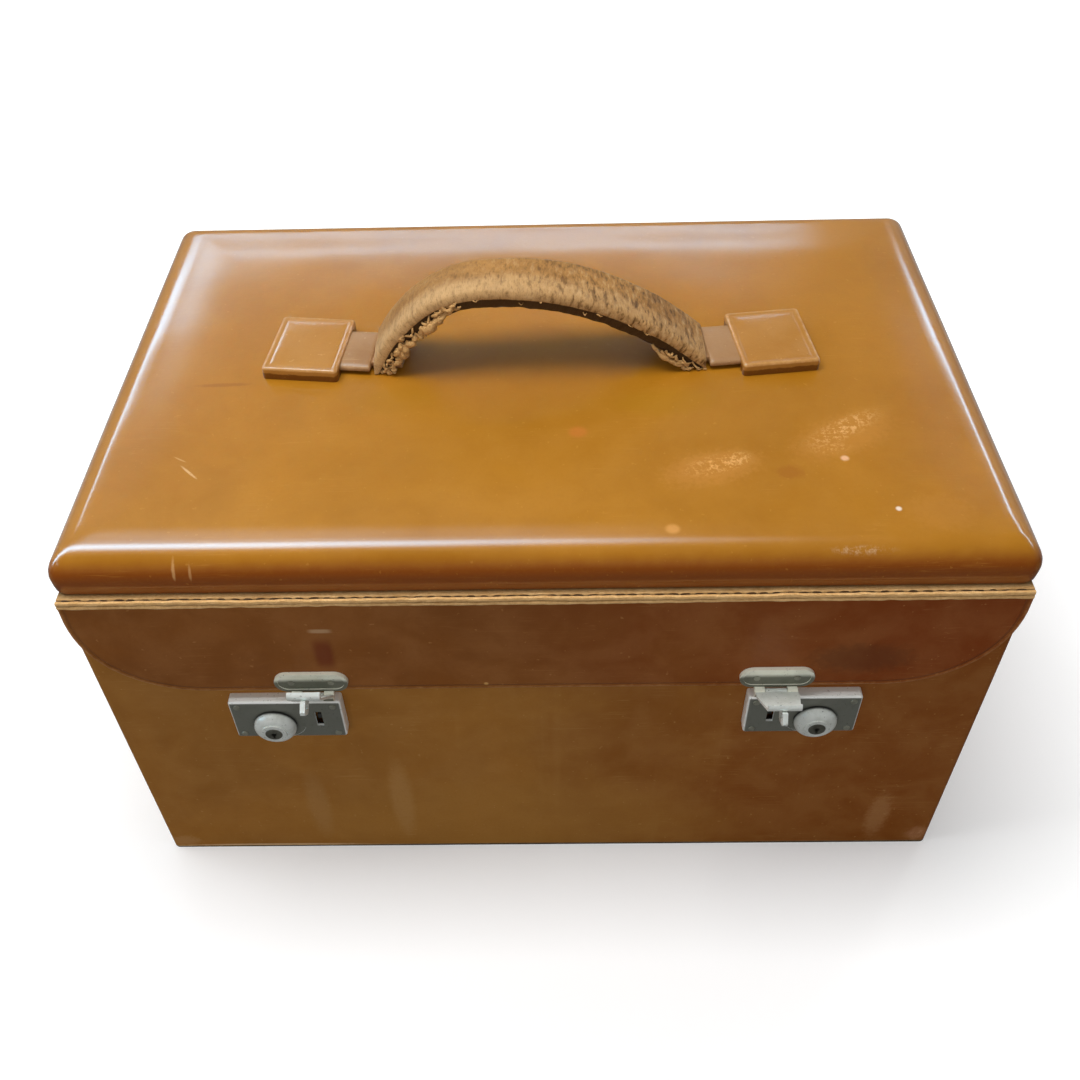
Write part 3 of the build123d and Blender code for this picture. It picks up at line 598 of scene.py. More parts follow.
@dataclass(frozen=True)
class Hide(Finish):
    """A dressed hide: its dye, gloss and grain, the wear of its edges and its marks.

    Attributes:
        dye: The colour that most of it has.
        shade: The dye where it has sunk in deeper; in a crease it is painted shade.
        worn: The hide under the dye, also used for painted glare streaks.
        roughness: How dull the dye is.
        sheen: How strongly the dye itself reflects.
        coat: How much of it is polished.
        coat_roughness: How dull the polish is.
        cells: The grain's cells per metre.
        grain: The grain's depth.
        ripple: A quarter of the depth of the wide waves.
        right: The dye towards the case's right end, if that is another one.
        right_from: Between which places along X, in metres, that dye takes over.
        low: A darker colour below the height low_top, if there is one: painted shade, on the lid's walls
            under the rolled edges and on the sides of the handle's tabs.
        low_top: Where that painted shade starts.
        low_blur: Half the height over which it starts.
        fall: How far the polish falls away towards the lid's sides and front.
        fall_x: Between which distances from the middle, in metres, it falls at the sides.
        fall_y: Between which places along Y it falls at the front.
        creased: Whether a crease runs along the turned edge, pressed in and darkened with painted shade.
        streaks: How strong the upright streaks are: painted reflection of glare, in the worn colour.
        scratches: How strong the hairlines are.
        marks: Its marks.
    """

    dye: Colour
    shade: Colour
    worn: Colour
    roughness: float = 0.42
    sheen: float = 0.2
    coat: float = 0.8
    coat_roughness: float = 0.1
    cells: float = 900.0
    grain: float = 0.03
    ripple: float = 0.12
    right: Colour | None = None
    right_from: tuple[float, float] = (0.0, 0.16)
    low: Colour | None = None
    low_top: float = 0.0
    low_blur: float = 2.4
    fall: float = 0.0
    fall_x: tuple[float, float] = (0.184, 0.167)
    fall_y: tuple[float, float] = (-0.115, -0.097)
    creased: bool = False
    streaks: float = 0.0
    scratches: float = 0.5
    marks: tuple[Mark, ...] = ()

    def polish(self, g: Graph, place: Socket, x: Socket, y: Socket) -> Socket:
        """The normal of the polish, which is smoother than the hide under it.

        Args:
            g: The graph.
            place: The place on the piece, in metres.
            x: The place along X.
            y: The place along Y.

        Returns:
            The normal.
        """
        film = g.bump(g.noise(place, POLISH_WAVES, 1.0, 0.5), self.ripple * 4)
        if self.fall:
            inside = g.times(g.step(g.plain(x), *self.fall_x), g.step(y, *self.fall_y))
            film = g.bump(inside, self.fall, film)
        return g.bump(g.noise(place, POLISH_DENTS, 2.0, 0.6), self.ripple * 0.08, film)

    def material(self, effects: Effects) -> Material:
        """Makes the hide's material.

        Args:
            effects: The shared effects.

        Returns:
            The material.
        """
        g, place = self.begin()
        x, y, z = g.axes(place)
        cloud = g.use(effects.mottle, Vector=place, Scale=CLOUDS)[0]
        patches = g.use(effects.mottle, Vector=place, Scale=BLOTCHES)[0]
        colour = g.tint(srgb(*self.dye), self.shade, cloud, 0.7)
        if self.right:
            rightward = g.step(g.plus(x, g.times(cloud, 0.05)), *self.right_from)
            colour = g.tint(colour, self.right, rightward)
        colour = g.tint(colour, self.worn, patches, 0.16)
        # Below low_top the colour is taken to a darker one: painted shade on walls that face away from the
        # light above.
        if self.low:
            rim = g.plus(z, g.times(g.noise(place, RIM), RIM_WANDER * MM))
            edge, blur = (self.low_top + RIM_WANDER / 2) * MM, self.low_blur * MM
            colour = g.tint(colour, self.low, g.step(rim, edge + blur, edge - blur))
        # Upright pale streaks: painted reflection of glare.
        if self.streaks:
            bands = g.noise(g.stretch(place, (75.0, 30.0, 4.0)), 1.0, 3.0, 0.6)
            colour = g.tint(colour, self.worn, g.step(bands, 0.56, 0.78), self.streaks)
        rough = g.plus(g.times(patches, 0.08), self.roughness)
        for mark in self.marks:
            mask = g.use(effects.patch, Vector=place, Centre=mark.centre, Half_size=mark.half,
                         Turn=math.radians(-mark.turn), Ragged=mark.ragged, Square=mark.square,
                         Flecked=mark.flecked)[0]
            mask = g.times(mask, mark.strength)
            colour = g.tint(colour, mark.colour, mask)
            rough = g.plus(rough, g.times(mask, 0.15))
        lines = g.use(effects.scratches, Vector=place, Amount=self.scratches)[0]
        colour = g.tint(colour, self.worn, lines, 0.5)
        specks = g.step(g.noise(place, SPECKS, 2.0, 0.4), 0.71, 0.76)
        colour = g.tint(colour, self.worn, specks, 0.35)
        near = g.attribute("near_edge", "Fac")
        frayed = g.plus(near, g.times(g.minus(g.noise(place, FRAYS, 4.0, 0.7), 0.5), 0.5))
        colour = g.tint(colour, self.worn, g.step(frayed, 0.72, 1.08), 0.8)
        height, pores = g.use(effects.grain, Vector=place, Cells=self.cells)
        colour = g.tint(colour, self.shade, pores, 0.12)
        normal = g.bump(g.noise(place, WAVES, 1.0, 0.5), self.ripple * 4)
        normal = g.bump(g.noise(place, DENTS, 3.0, 0.6), self.ripple * 0.3, normal)
        if self.creased:
            # The crease is pressed in with a bump, and its darkening is painted shade.
            crease = g.line(near, 0.74, 0.11, 0.0)
            colour = g.tint(colour, self.shade, crease, 0.35)
            normal = g.bump(g.minus(1.0, crease), 0.4, normal)
        normal = g.bump(g.minus(1.0, lines), 0.02, normal)
        normal = g.bump(height, self.grain, normal)
        return self.end(g, colour, rough, normal, Specular_IOR_Level=self.sheen, Coat_Weight=self.coat,
                        Coat_IOR=1.6, Coat_Roughness=self.coat_roughness,
                        Coat_Normal=self.polish(g, place, x, y))


@dataclass(frozen=True)
class RawHide(Finish):
    """Undressed leather: cut edges and flesh sides, with dark gaps between the fibres.

    Attributes:
        light: The fibres.
        dark: The gaps.
        scale: The fibres' waves per metre.
        depth: How deep they lie.
        foot: The height below which it is darkened as painted contact shadow, if it is.
        foot_blur: Half the height over which that painted shadow ends.
        foot_right: Between which places along X, in metres, all of it becomes darker.
    """

    light: Colour
    dark: Colour
    scale: float = 420.0
    depth: float = 0.25
    foot: float = 0.0
    foot_blur: float = 0.15
    foot_right: tuple[float, float] = (-0.12, -0.04)

    def material(self, effects: Effects) -> Material:
        """Makes the raw leather's material.

        Args:
            effects: The shared effects.

        Returns:
            The material.
        """
        g, place = self.begin()
        height, mask = g.use(effects.fibres, Vector=place, Scale=self.scale)
        long_height, long_mask = g.use(effects.fibres, Vector=g.stretch(place, (0.12, 1.0, 1.6)),
                                       Scale=self.scale * 2)
        cloud = g.use(effects.mottle, Vector=place, Scale=60.0)[0]
        colour = g.tint(srgb(*self.light), self.dark, g.plus(mask, long_mask), 0.36)
        colour = g.tint(colour, self.dark, cloud, 0.25)
        # Darker where near_edge is high: painted shade in the welt's groove and along its layers'
        # undersides and backs.
        colour = g.tint(colour, dim(self.dark, 0.3), g.attribute("near_edge", "Fac"), 0.85)
        # A painted contact shadow along the bottom, and a darker base towards the right.
        if self.foot:
            x, _, z = g.axes(place)
            darker_base = g.times(g.step(x, *self.foot_right), 0.75)
            high, low = (self.foot + self.foot_blur) * MM, (self.foot - self.foot_blur) * MM
            darker_base = g.most(darker_base, g.step(z, high, low))
            colour = g.tint(colour, dim(self.dark, 0.25), darker_base, 0.92)
        normal = g.bump(height, self.depth)
        normal = g.bump(long_height, self.depth * 0.5, normal)
        return self.end(g, colour, 0.78, normal, Specular_IOR_Level=0.3)


@dataclass(frozen=True)
class GripHide(Finish):
    """The worn-through strap: its dye is gone, and it is cracked across where it bends.

    Attributes:
        light: The rubbed ridges.
        middle: The strap between them.
        dark: The cracks.
        cracks: The wide cracks per metre.
        fine_cracks: The fine cracks per metre.
        fold_at: Where a deep fold crosses the strap, in millimetres from its left end; it is drawn as a
            line of painted shade.
        fold_half: Half the fold's width at its rim and at its core, in millimetres.
        tight_from: Between which places along it, in metres, its surface tightens.
        front_from: Between which places across it the rubbed front starts.
        under_from: Between which heights, counted from its middle, the dark underside starts.
    """

    light: Colour
    middle: Colour
    dark: Colour
    cracks: float = 560.0
    fine_cracks: float = 1900.0
    fold_at: float = 37.5
    fold_half: tuple[float, float] = (0.9, 0.1)
    tight_from: tuple[float, float] = (0.05, 0.13)
    front_from: tuple[float, float] = (0.003, -0.005)
    under_from: tuple[float, float] = (0.35e-3, 0.0)

    def material(self, effects: Effects) -> Material:
        """Makes the strap's material from its own coordinates: along, across and around.

        Args:
            effects: The shared effects.

        Returns:
            The material.
        """
        g, _ = self.begin()
        strap = g.attribute("strap", "Vector")
        along, across, around = g.axes(strap)
        tight = g.step(along, *self.tight_from)
        broad = g.noise(g.stretch(strap, (1.0, 0.3, 0.5)), self.cracks, 3.0, 0.6, 0.15)
        narrow = g.noise(g.stretch(strap, (1.0, 0.2, 0.5)), self.fine_cracks, 3.0, 0.65, 0.1)
        cells = g.stretch(strap, (1.0, 0.42, 0.5))
        scales, pores = g.use(effects.grain, Vector=cells, Cells=self.cracks)
        cloud = g.use(effects.mottle, Vector=strap, Scale=60.0)[0]
        hairs, matted = g.use(effects.fibres, Vector=strap, Scale=700.0)

        def tighter(by: float, least: float) -> Socket:
            """A strength that grows by an amount from the least one where the strap bends."""
            return g.plus(g.times(tight, by), least)

        front = g.step(g.plus(across, g.times(cloud, 0.004)), *self.front_from)
        rubbed = g.times(front, g.minus(1.0, g.times(tight, 0.45)))
        gaps = g.times(g.step(broad, 0.49, 0.34), tighter(0.38, 0.3))
        ridges = g.times(g.step(broad, 0.52, 0.68), tighter(0.35, 0.2))
        fine = g.times(g.step(narrow, 0.49, 0.38), 0.26)
        fine = g.plus(fine, g.times(pores, tighter(0.35, 0.1)))
        colour = g.tint(srgb(*self.middle), self.dark, cloud, 0.55)
        colour = g.tint(colour, self.light, rubbed, 0.7)
        colour = g.tint(colour, self.middle, matted, 0.2)
        colour = g.tint(colour, self.light, ridges)
        colour = g.tint(colour, dim(self.dark, 0.8), g.plus(gaps, fine))
        colour = g.tint(colour, dim(self.dark, 0.5), g.step(around, *self.under_from), 0.95)
        # A dark line where the strap folds: painted shade.
        fold = g.plus(along, g.times(g.noise(strap, 240.0), 0.003))
        fold = g.line(fold, self.fold_at * MM, *(half * MM for half in self.fold_half))
        colour = g.tint(colour, dim(self.dark, 0.8), fold, 0.3)
        normal = g.bump(g.times(broad, tighter(0.75, 0.25)), 0.55)
        for height, depth in ((narrow, 0.08), (scales, 0.12), (hairs, 0.05)):
            normal = g.bump(height, depth, normal)
        return self.end(g, colour, 0.66, normal, Specular_IOR_Level=0.3, Sheen_Weight=0.05)


@dataclass(frozen=True)
class Thread(Finish):
    """Waxed linen thread."""

    colour: Colour

    def material(self, effects: Effects) -> Material:
        """Makes the thread's material.

        Args:
            effects: The shared effects.

        Returns:
            The material.
        """
        g, place = self.begin()
        twist = g.noise(g.stretch(place, (1600.0, 500.0, 500.0)), 1.0, 2.0)
        colour = g.tint(srgb(*self.colour), dim(self.colour, 0.5), twist)
        return self.end(g, colour, 0.6, g.bump(twist, 0.08))


@dataclass(frozen=True)
class Metal(Finish):
    """Plated or lacquered metal with a dull film, small spots and fine scratches.

    Attributes:
        bright: The metal where it is clean.
        film: The metal under its dull film.
        spot: The small dark spots.
        roughness: How dull the clean metal is.
        wear: How much of it the film covers.
        metallic: How much of it still reflects like bare metal.
        face: The darker colour of the side that faces forward, if it is darker: painted shade.
        crest: The height above which that side keeps its bright colour, as a painted highlight.
        crest_blur: The height over which the painted shade ends there.
        hidden: The depth along Y behind which the metal is painted near-black, as shade inside the lock's
            slot.
        hidden_blur: Half the depth over which that painted shade starts.
    """

    bright: Colour
    film: Colour
    spot: Colour
    roughness: float
    wear: float = 0.5
    metallic: float = 1.0
    face: Colour | None = None
    crest: float = 0.0
    crest_blur: float = 3.0
    hidden: float | None = None
    hidden_blur: float = 0.6

    def material(self, effects: Effects) -> Material:
        """Makes the metal's material.

        Args:
            effects: The shared effects.

        Returns:
            The material.
        """
        g, place = self.begin()
        film, spots = g.use(effects.tarnish, Vector=place, Scale=170.0)
        lines = g.use(effects.scratches, Vector=g.stretch(place, (3.0, 3.0, 3.0)), Amount=1.0)[0]
        colour = g.tint(srgb(*self.bright), self.film, film, self.wear)
        colour = g.tint(colour, self.spot, spots, 0.6)
        # Forward-facing sides take a darker colour as painted shade; above the crest they stay bright as a
        # painted highlight.
        if self.face:
            dark = g.step(g.axes(g.coordinates("Normal"))[1], -0.75, -0.97)
            if self.crest:
                dark = g.times(dark, g.step(g.axes(place)[2], self.crest * MM,
                                            (self.crest - self.crest_blur) * MM))
            colour = g.tint(colour, self.face, dark, 0.9)
        # Behind the given depth the metal is painted near-black: painted shade inside the slot.
        if self.hidden is not None:
            in_slot_shade = g.step(g.axes(place)[1], (self.hidden - self.hidden_blur) * MM,
                           (self.hidden + self.hidden_blur) * MM)
            colour = g.tint(colour, SLOT_SHADE, in_slot_shade, 0.95)
        rough = g.plus(g.times(film, 0.16), self.roughness)
        rough = g.plus(rough, g.times(lines, 0.1))
        normal = g.bump(g.noise(place, 120.0, 3.0), 0.05)
        normal = g.bump(g.noise(place, 1300.0, 3.0, 0.7), 0.012, normal)
        normal = g.bump(g.minus(1.0, lines), 0.012, normal)
        return self.end(g, colour, rough, normal, Metallic=self.metallic)


@dataclass(frozen=True)
class Wood(Finish):
    """Planed softwood darkened with age."""

    light: Colour
    dark: Colour

    def material(self, effects: Effects) -> Material:
        """Makes the wood's material, with its grain along X.

        Args:
            effects: The shared effects.

        Returns:
            The material.
        """
        g, place = self.begin()
        rings = g.noise(g.stretch(place, (6.0, 110.0, 110.0)), 1.0, 5.0, 0.6, 0.5)
        fine = g.noise(g.stretch(place, (40.0, 1400.0, 1400.0)), 1.0, 3.0)
        colour = g.tint(srgb(*self.light), self.dark, g.step(rings, 0.38, 0.62))
        colour = g.tint(colour, self.dark, fine, 0.3)
        return self.end(g, colour, 0.62, g.bump(g.plus(rings, fine), 0.08))


@dataclass(frozen=True)
class Silk(Finish):
    """Ribbed silk with a watered figure."""

    light: Colour
    dark: Colour

    def material(self, effects: Effects) -> Material:
        """Makes the silk's material.

        Args:
            effects: The shared effects.

        Returns:
            The material.
        """
        g, place = self.begin()
        height, ribs = g.use(effects.weave, Vector=place, Ribs=7400.0)
        water = g.noise(g.stretch(place, (22.0, 22.0, 5.0)), 1.0, 4.0, 0.6, 2.2)
        figure = g.step(g.math("SINE", g.times(water, 46.0)), -0.2, 0.9)
        cloud = g.use(effects.mottle, Vector=place, Scale=16.0)[0]
        colour = g.tint(srgb(*self.dark), self.light, figure, 0.5)
        # Lighter rib tops: a painted sheen.
        colour = g.tint(colour, self.light, ribs, 0.25)
        colour = g.tint(colour, self.dark, cloud, 0.25)
        rough = g.minus(0.62, g.times(figure, 0.16))
        normal = g.bump(height, 0.09, g.bump(g.noise(place, 60.0, 2.0), 0.25))
        return self.end(g, colour, rough, normal, Sheen_Weight=0.4, Sheen_Roughness=0.4)


@dataclass(frozen=True)
class Glass(Finish):
    """Clear pressed glass, or silvered glass with aged silvering."""

    tint: Colour
    silvered: bool = False

    def material(self, effects: Effects) -> Material:
        """Makes the glass's material.

        Args:
            effects: The shared effects.

        Returns:
            The material.
        """
        g, place = self.begin()
        normal = g.bump(g.noise(place, 45.0, 2.0), 0.05 if not self.silvered else 0.004)
        colour = srgb(*self.tint)
        if not self.silvered:
            smears = g.times(g.noise(place, 70.0, 3.0), 0.07)
            return self.end(g, colour, smears, normal, IOR=1.5, Transmission_Weight=1.0)
        spots = g.step(g.noise(place, 240.0, 5.0, 0.7), 0.63, 0.72)
        haze = g.use(effects.mottle, Vector=place, Scale=22.0)[0]
        colour = g.tint(colour, AGED_SILVER, spots, 0.5)
        rough = g.plus(g.times(haze, 0.04), g.times(spots, 0.25))
        return self.end(g, colour, rough, normal, Metallic=1.0)


# ------------------------------ mesh work
class Stuff:
    """The points and faces of one piece, in millimetres, until it is made."""

    def __init__(self) -> None:
        """Starts with nothing."""
        self.points: list[Vector] = []
        self.near: list[float] = []
        self.strap: list[Vector] = []
        self.faces: list[Sequence[int]] = []
        self.finish: list[int] = []

    def row(self, points: Iterable[Sequence[float]], near: float | Sequence[float] = 0.0,
            strap: Sequence[Sequence[float]] | None = None) -> Ring:
        """Adds a row of points.

        Args:
            points: The points.
            near: How near each lies to an edge, from 0 to 1; on the welt it sets how much painted shade it
                gets.
            strap: Each point's own strap coordinates.

        Returns:
            Their numbers.
        """
        start = len(self.points)
        self.points.extend(Vector(p) for p in points)
        count = len(self.points) - start
        self.near.extend([near] * count if isinstance(near, (int, float)) else near)
        self.strap.extend(Vector(s) for s in (strap or [(0, 0, 0)] * count))
        return list(range(start, start + count))

    def bridge(self, a: Ring, b: Ring, closed: bool = True, finish: int = 0) -> None:
        """Joins two rows of the same length with four-sided faces.

        Args:
            a: One row.
            b: The other row.
            closed: Whether the rows are rings.
            finish: The faces' finish number.
        """
        count = len(a)
        for i in range(count if closed else count - 1):
            j = (i + 1) % count
            self.faces.append((a[i], a[j], b[j], b[i]))
            self.finish.append(finish)

    def cap(self, ring: Ring, finish: int = 0) -> None:
        """Closes a ring with one face."""
        self.faces.append(tuple(ring))
        self.finish.append(finish)

    def loft(self, rings: Sequence[Ring], ends: Iterable[int] = (0, -1), closed: bool = True,
             finish: int = 0) -> None:
        """Joins each row to the next and caps the rows whose numbers are among the ends.

        Args:
            rings: The rows.
            ends: The numbers of the rows that are closed with a face.
            closed: Whether the rows are rings.
            finish: The faces' finish number.
        """
        for a, b in zip(rings, rings[1:]):
            self.bridge(a, b, closed, finish)
        for end in ends:
            self.cap(rings[end], finish)

    def tube(self, route: Sequence[Vector], radius: Callable[[float], float], sides: int,
             finish: int = 0) -> None:
        """Adds a closed strand along a route; radius is a function of the share along it.

        Args:
            route: Its middle line.
            radius: The radius for a share of its length.
            sides: The number of its sides.
            finish: The faces' finish number.
        """
        rings, odd_way = [], Vector((0.31, 0.22, 0.93))
        for i, centre in enumerate(route):
            ahead = (route[min(i + 1, len(route) - 1)] - route[max(i - 1, 0)]).normalized()
            across = ahead.cross(odd_way).normalized()
            over = ahead.cross(across)
            size = radius(i / (len(route) - 1))
            rings.append(self.row(
                centre + size * (across * math.cos(t) + over * math.sin(t))
                for t in (2 * math.pi * k / sides for k in range(sides))))
        self.loft(rings, finish=finish)

    def make(self, name: str, materials: Sequence[Material], body: Body,
             slot: Slot | None = None, replaces: Sequence[str] = (),
             sharp: float = 40.0) -> bpy.types.Object:
        """Makes the object.

        Args:
            name: The piece's name.
            materials: Its materials, in the order of the faces' finish numbers.
            body: The body that it rides on.
            slot: The record's slot of its finish; not used.
            replaces: The solids that it stands for.
            sharp: Edges above this angle, in degrees, stay crisp.

        Returns:
            The object.
        """
        mesh = bpy.data.meshes.new(name)
        mesh.from_pydata([p * MM for p in self.points], [], self.faces)
        for material in materials:
            mesh.materials.append(material)
        mesh.polygons.foreach_set("material_index", self.finish)
        near = mesh.attributes.new("near_edge", "FLOAT", "POINT")
        near.data.foreach_set("value", self.near)
        if any(s.length for s in self.strap):
            strap = mesh.attributes.new("strap", "FLOAT_VECTOR", "POINT")
            strap.data.foreach_set("vector", [v * MM for s in self.strap for v in s])
        work = bmesh.new()
        work.from_mesh(mesh)
        bmesh.ops.recalc_face_normals(work, faces=work.faces)
        work.to_mesh(mesh)
        work.free()
        mesh.shade_smooth()
        mesh.set_sharp_from_angle(angle=math.radians(sharp))
        made = placed(name, mesh)
        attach(made, body.value)
        if replaces:
            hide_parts(*replaces)
        log.info("%s: %d faces on %s", name, len(mesh.polygons), body.value)
        return made


def rounded_ring(half_x: float, half_y: float, radius: float, along: int, across: int,
                 bend: int = 6) -> list[tuple[float, float]]:
    """A rounded rectangle about the origin.

    Args:
        half_x: Half its width.
        half_y: Half its depth.
        radius: Its corners' radius.
        along: The number of spans on each side along X.
        across: The number of spans on each side along Y.
        bend: The number of spans in each corner.

    Returns:
        Its points, the same number for any size.
    """
    signs = ((1, 1), (-1, 1), (-1, -1), (1, -1))
    inner_x, inner_y = half_x - radius, half_y - radius

    def spot(quarter: int, turn: float) -> tuple[float, float]:
        """A place on a corner's arc, at a turn counted in right angles.

        Args:
            quarter: The corner's number.
            turn: The turn.

        Returns:
            The place.
        """
        sx, sy = signs[quarter % 4]
        angle = math.radians(90 * turn)
        return sx * inner_x + radius * math.cos(angle), sy * inner_y + radius * math.sin(angle)

    points: list[tuple[float, float]] = []
    for number in range(4):
        points += [spot(number, number + k / bend) for k in range(bend)]
        start, end = spot(number, number + 1), spot(number + 1, number + 1)
        spans = along if number % 2 == 0 else across
        points += [tuple(a + (b - a) * k / spans for a, b in zip(start, end)) for k in range(spans)]
    return points


def wander(seed: float, *place: float, size: float = 1.0) -> float:
    """A smooth random value from about -size to size at a place."""
    point = Vector((*place, 0.0, 0.0)[:3]) + Vector((seed * 17.3, seed * 5.1, seed * 9.7))
    return size * noise.noise(point)


def arc(radius: float, count: int, first: int = 0) -> list[tuple[float, float]]:
    """How far in and how far up a rolled edge is, at even turns through its quarter circle."""
    turns = (math.radians(90 * k / count) for k in range(first, count + 1))
    return [(radius * (1 - math.cos(t)), radius * math.sin(t)) for t in turns]


def route_with_bends(points: Sequence[tuple[float, float]], radii: Sequence[float],
                     step: float) -> list[tuple[float, float, float, float]]:
    """Straight runs joined by tangent arcs, in a plane.

    Args:
        points: The runs' corners, as places along X and heights.
        radii: The radius of the bend at each inner corner.
        step: The distance between the points that come back.

    Returns:
        Evenly spaced points, each with its unit direction.
    """
    spots, spans = [Vector(p) for p in points], 24
    fine: list[Vector] = [spots[0]]
    for before, corner, after, radius in zip(spots, spots[1:], spots[2:], radii):
        into, out = (corner - before).normalized(), (after - corner).normalized()
        turn = into.angle_signed(out)
        start = corner - into * (radius * math.tan(abs(turn) / 2))
        side = Vector((into.y, -into.x)) * (1 if turn > 0 else -1)
        centre = start + side * radius
        for k in range(spans + 1):
            arm = start - centre
            arm.rotate(Matrix.Rotation(-turn * k / spans, 2))
            fine.append(centre + arm)
    fine.append(spots[-1])
    lengths = [0.0]
    for a, b in zip(fine, fine[1:]):
        lengths.append(lengths[-1] + (b - a).length)
    count = round(lengths[-1] / step)
    made, place = [], 0
    for k in range(count + 1):
        wanted = lengths[-1] * k / count
        while place < len(fine) - 2 and lengths[place + 1] < wanted:
            place += 1
        span = fine[place + 1] - fine[place]
        share = (wanted - lengths[place]) / max(lengths[place + 1] - lengths[place], 1e-6)
        spot, ahead = fine[place] + span * share, span.normalized()
        made.append((spot.x, spot.y, ahead.x, ahead.y))
    return made


# ------------------------------ finishes
DULL = {"roughness": 0.6, "sheen": 0.15, "coat": 0.12, "coat_roughness": 0.25, "ripple": 0.05}


@dataclass(frozen=True)
class Palette:
    """Every finish on the case."""

    lid: Hide = Hide(
        "polished_tan_hide", dye=(169, 111, 22), shade=(152, 97, 14), worn=(190, 132, 54),
        # low paints shade on the lid's walls under the rolled edges.
        low=(134, 66, 0), low_top=200.6, low_blur=3.2, coat=1.0, coat_roughness=0.15, ripple=0.14,
        fall=0.9, scratches=0.6, marks=(
            Mark.above(68, -69, 20, 8, (236, 184, 112), 0.95, 18, 1.6, flecked=1),
            Mark.above(77, -66, 9, 6, (240, 190, 122), 0.7, 20, 1.8, flecked=1),
            Mark.above(66, -71, 26, 12, (196, 132, 62), 0.35, 15, 1.2),
            Mark.above(121, -49, 28, 8, (238, 190, 126), 0.95, 32, 1.8, flecked=1),
            Mark.above(114, -61, 12, 5, (232, 180, 110), 0.7, 8, 1.6, flecked=1),
            Mark.above(120, -53, 30, 14, (194, 130, 58), 0.3, 30, 1.2),
            Mark.above(15.2, -48.9, 5, 4.5, (196, 110, 46), 0.5),
            Mark.above(48.5, -102.7, 3.6, 3.2, (214, 152, 78), 0.65),
            Mark.above(118.1, -66.5, 2.2, 2.0, (236, 186, 146), 0.75),
            Mark.above(132.7, -94, 1.5, 1.5, (238, 220, 206), 0.9),
            Mark((116, -112.5, 203), (17, 2.2, 20), (226, 200, 166), 0.45, 0, 1.6, flecked=1),
            Mark.above(-137, -69.4, 6.5, 0.7, (232, 196, 150), 0.6, -44, 0.5),
            Mark.above(-142, -62, 4.0, 0.5, (222, 180, 130), 0.4, -30, 0.5),
            Mark.ahead(-134, 199, 0.8, 5, (216, 168, 108), 0.5, 0, 0.7, y=LID_FRONT),
            Mark.ahead(-128, 198, 0.7, 4, (216, 168, 108), 0.4, 0, 0.7, y=LID_FRONT),
            Mark.above(-134, -15.5, 15, 1.6, (120, 70, 22), 0.42, 2, 0.6),
            Mark.above(-60, -27, 22, 11, (156, 104, 18), 0.5, 5, 0.5),
            Mark.above(52, -31, 28, 11, (160, 108, 14), 0.55, 5, 0.5),
            Mark.above(96, -74, 7, 5, (146, 84, 22), 0.45, 0, 1.2),
            Mark.above(148, -96, 16, 12, (196, 134, 62), 0.2, 0, 1.2)))
    case: Hide = Hide(
        "darkened_brown_hide", dye=(160, 106, 40), shade=(138, 88, 30), worn=(190, 142, 82),
        # streaks paints upright glare reflections on the case.
        right=(132, 72, 18), streaks=0.1, **DULL, marks=(
            # The next three marks are painted light: a lighter lower middle and two upright glare streaks
            # on the front.
            Mark.ahead(-20, 24, 130, 46, (164, 116, 52), 0.4, 0, 0.4),
            Mark.ahead(-105, 38, 7, 36, (172, 132, 84), 0.28, 0, 0.5),
            Mark.ahead(-66, 42, 7, 40, (180, 138, 84), 0.36, 0, 0.5),
            Mark.ahead(154, 25, 7, 24, (180, 132, 84), 0.4, 0, 1.0),
            Mark.ahead(176, 8, 7, 8, (214, 160, 120), 0.5, 0, 1.4, flecked=0.6),
            Mark.ahead(-130, 1.9, 52, 1.0, (226, 194, 150), 0.7, 0, 0.5),
            Mark.ahead(-174, 6, 9, 6, (186, 142, 92), 0.4, 0, 1.4)))
    flap: Hide = Hide(
        "flap_hide", dye=(134, 78, 26), shade=(120, 70, 26), worn=(186, 132, 80), right=(126, 58, 10),
        creased=True, scratches=0.35, **DULL, marks=(
            Mark.ahead(-85, 154, 5.2, 12, (104, 38, 12), 0.7, square=1, y=FLAP_FRONT),
            Mark.ahead(-84.6, 168.4, 5.6, 1.6, (190, 156, 118), 0.6, square=1, y=FLAP_FRONT),
            Mark.ahead(124, 148, 26, 12, (88, 52, 28), 0.45, 0, 0.8, y=FLAP_FRONT),
            Mark.ahead(-22.8, 134, 1.2, 1.2, (220, 170, 100), 0.7, y=FLAP_FRONT)))
    strap: Hide = Hide(
        "strap_hide", dye=(170, 116, 46), shade=(152, 98, 34), worn=(210, 162, 106), roughness=0.45,
        coat=0.7, coat_roughness=0.14, cells=1300.0, ripple=0.05, scratches=0.4,
        # low paints shade on the sides of the tabs.
        low=(110, 62, 18), low_top=207.9, low_blur=0.35)
    tongue: Hide = Hide(
        "rubbed_strap_hide", dye=(156, 116, 76), shade=(138, 98, 62), worn=(206, 168, 124),
        roughness=0.5, coat=0.3, coat_roughness=0.25, cells=1300.0, ripple=0.06, scratches=0.7)
    raw: RawHide = RawHide("raw_edge", light=(242, 200, 140), dark=(186, 134, 72))
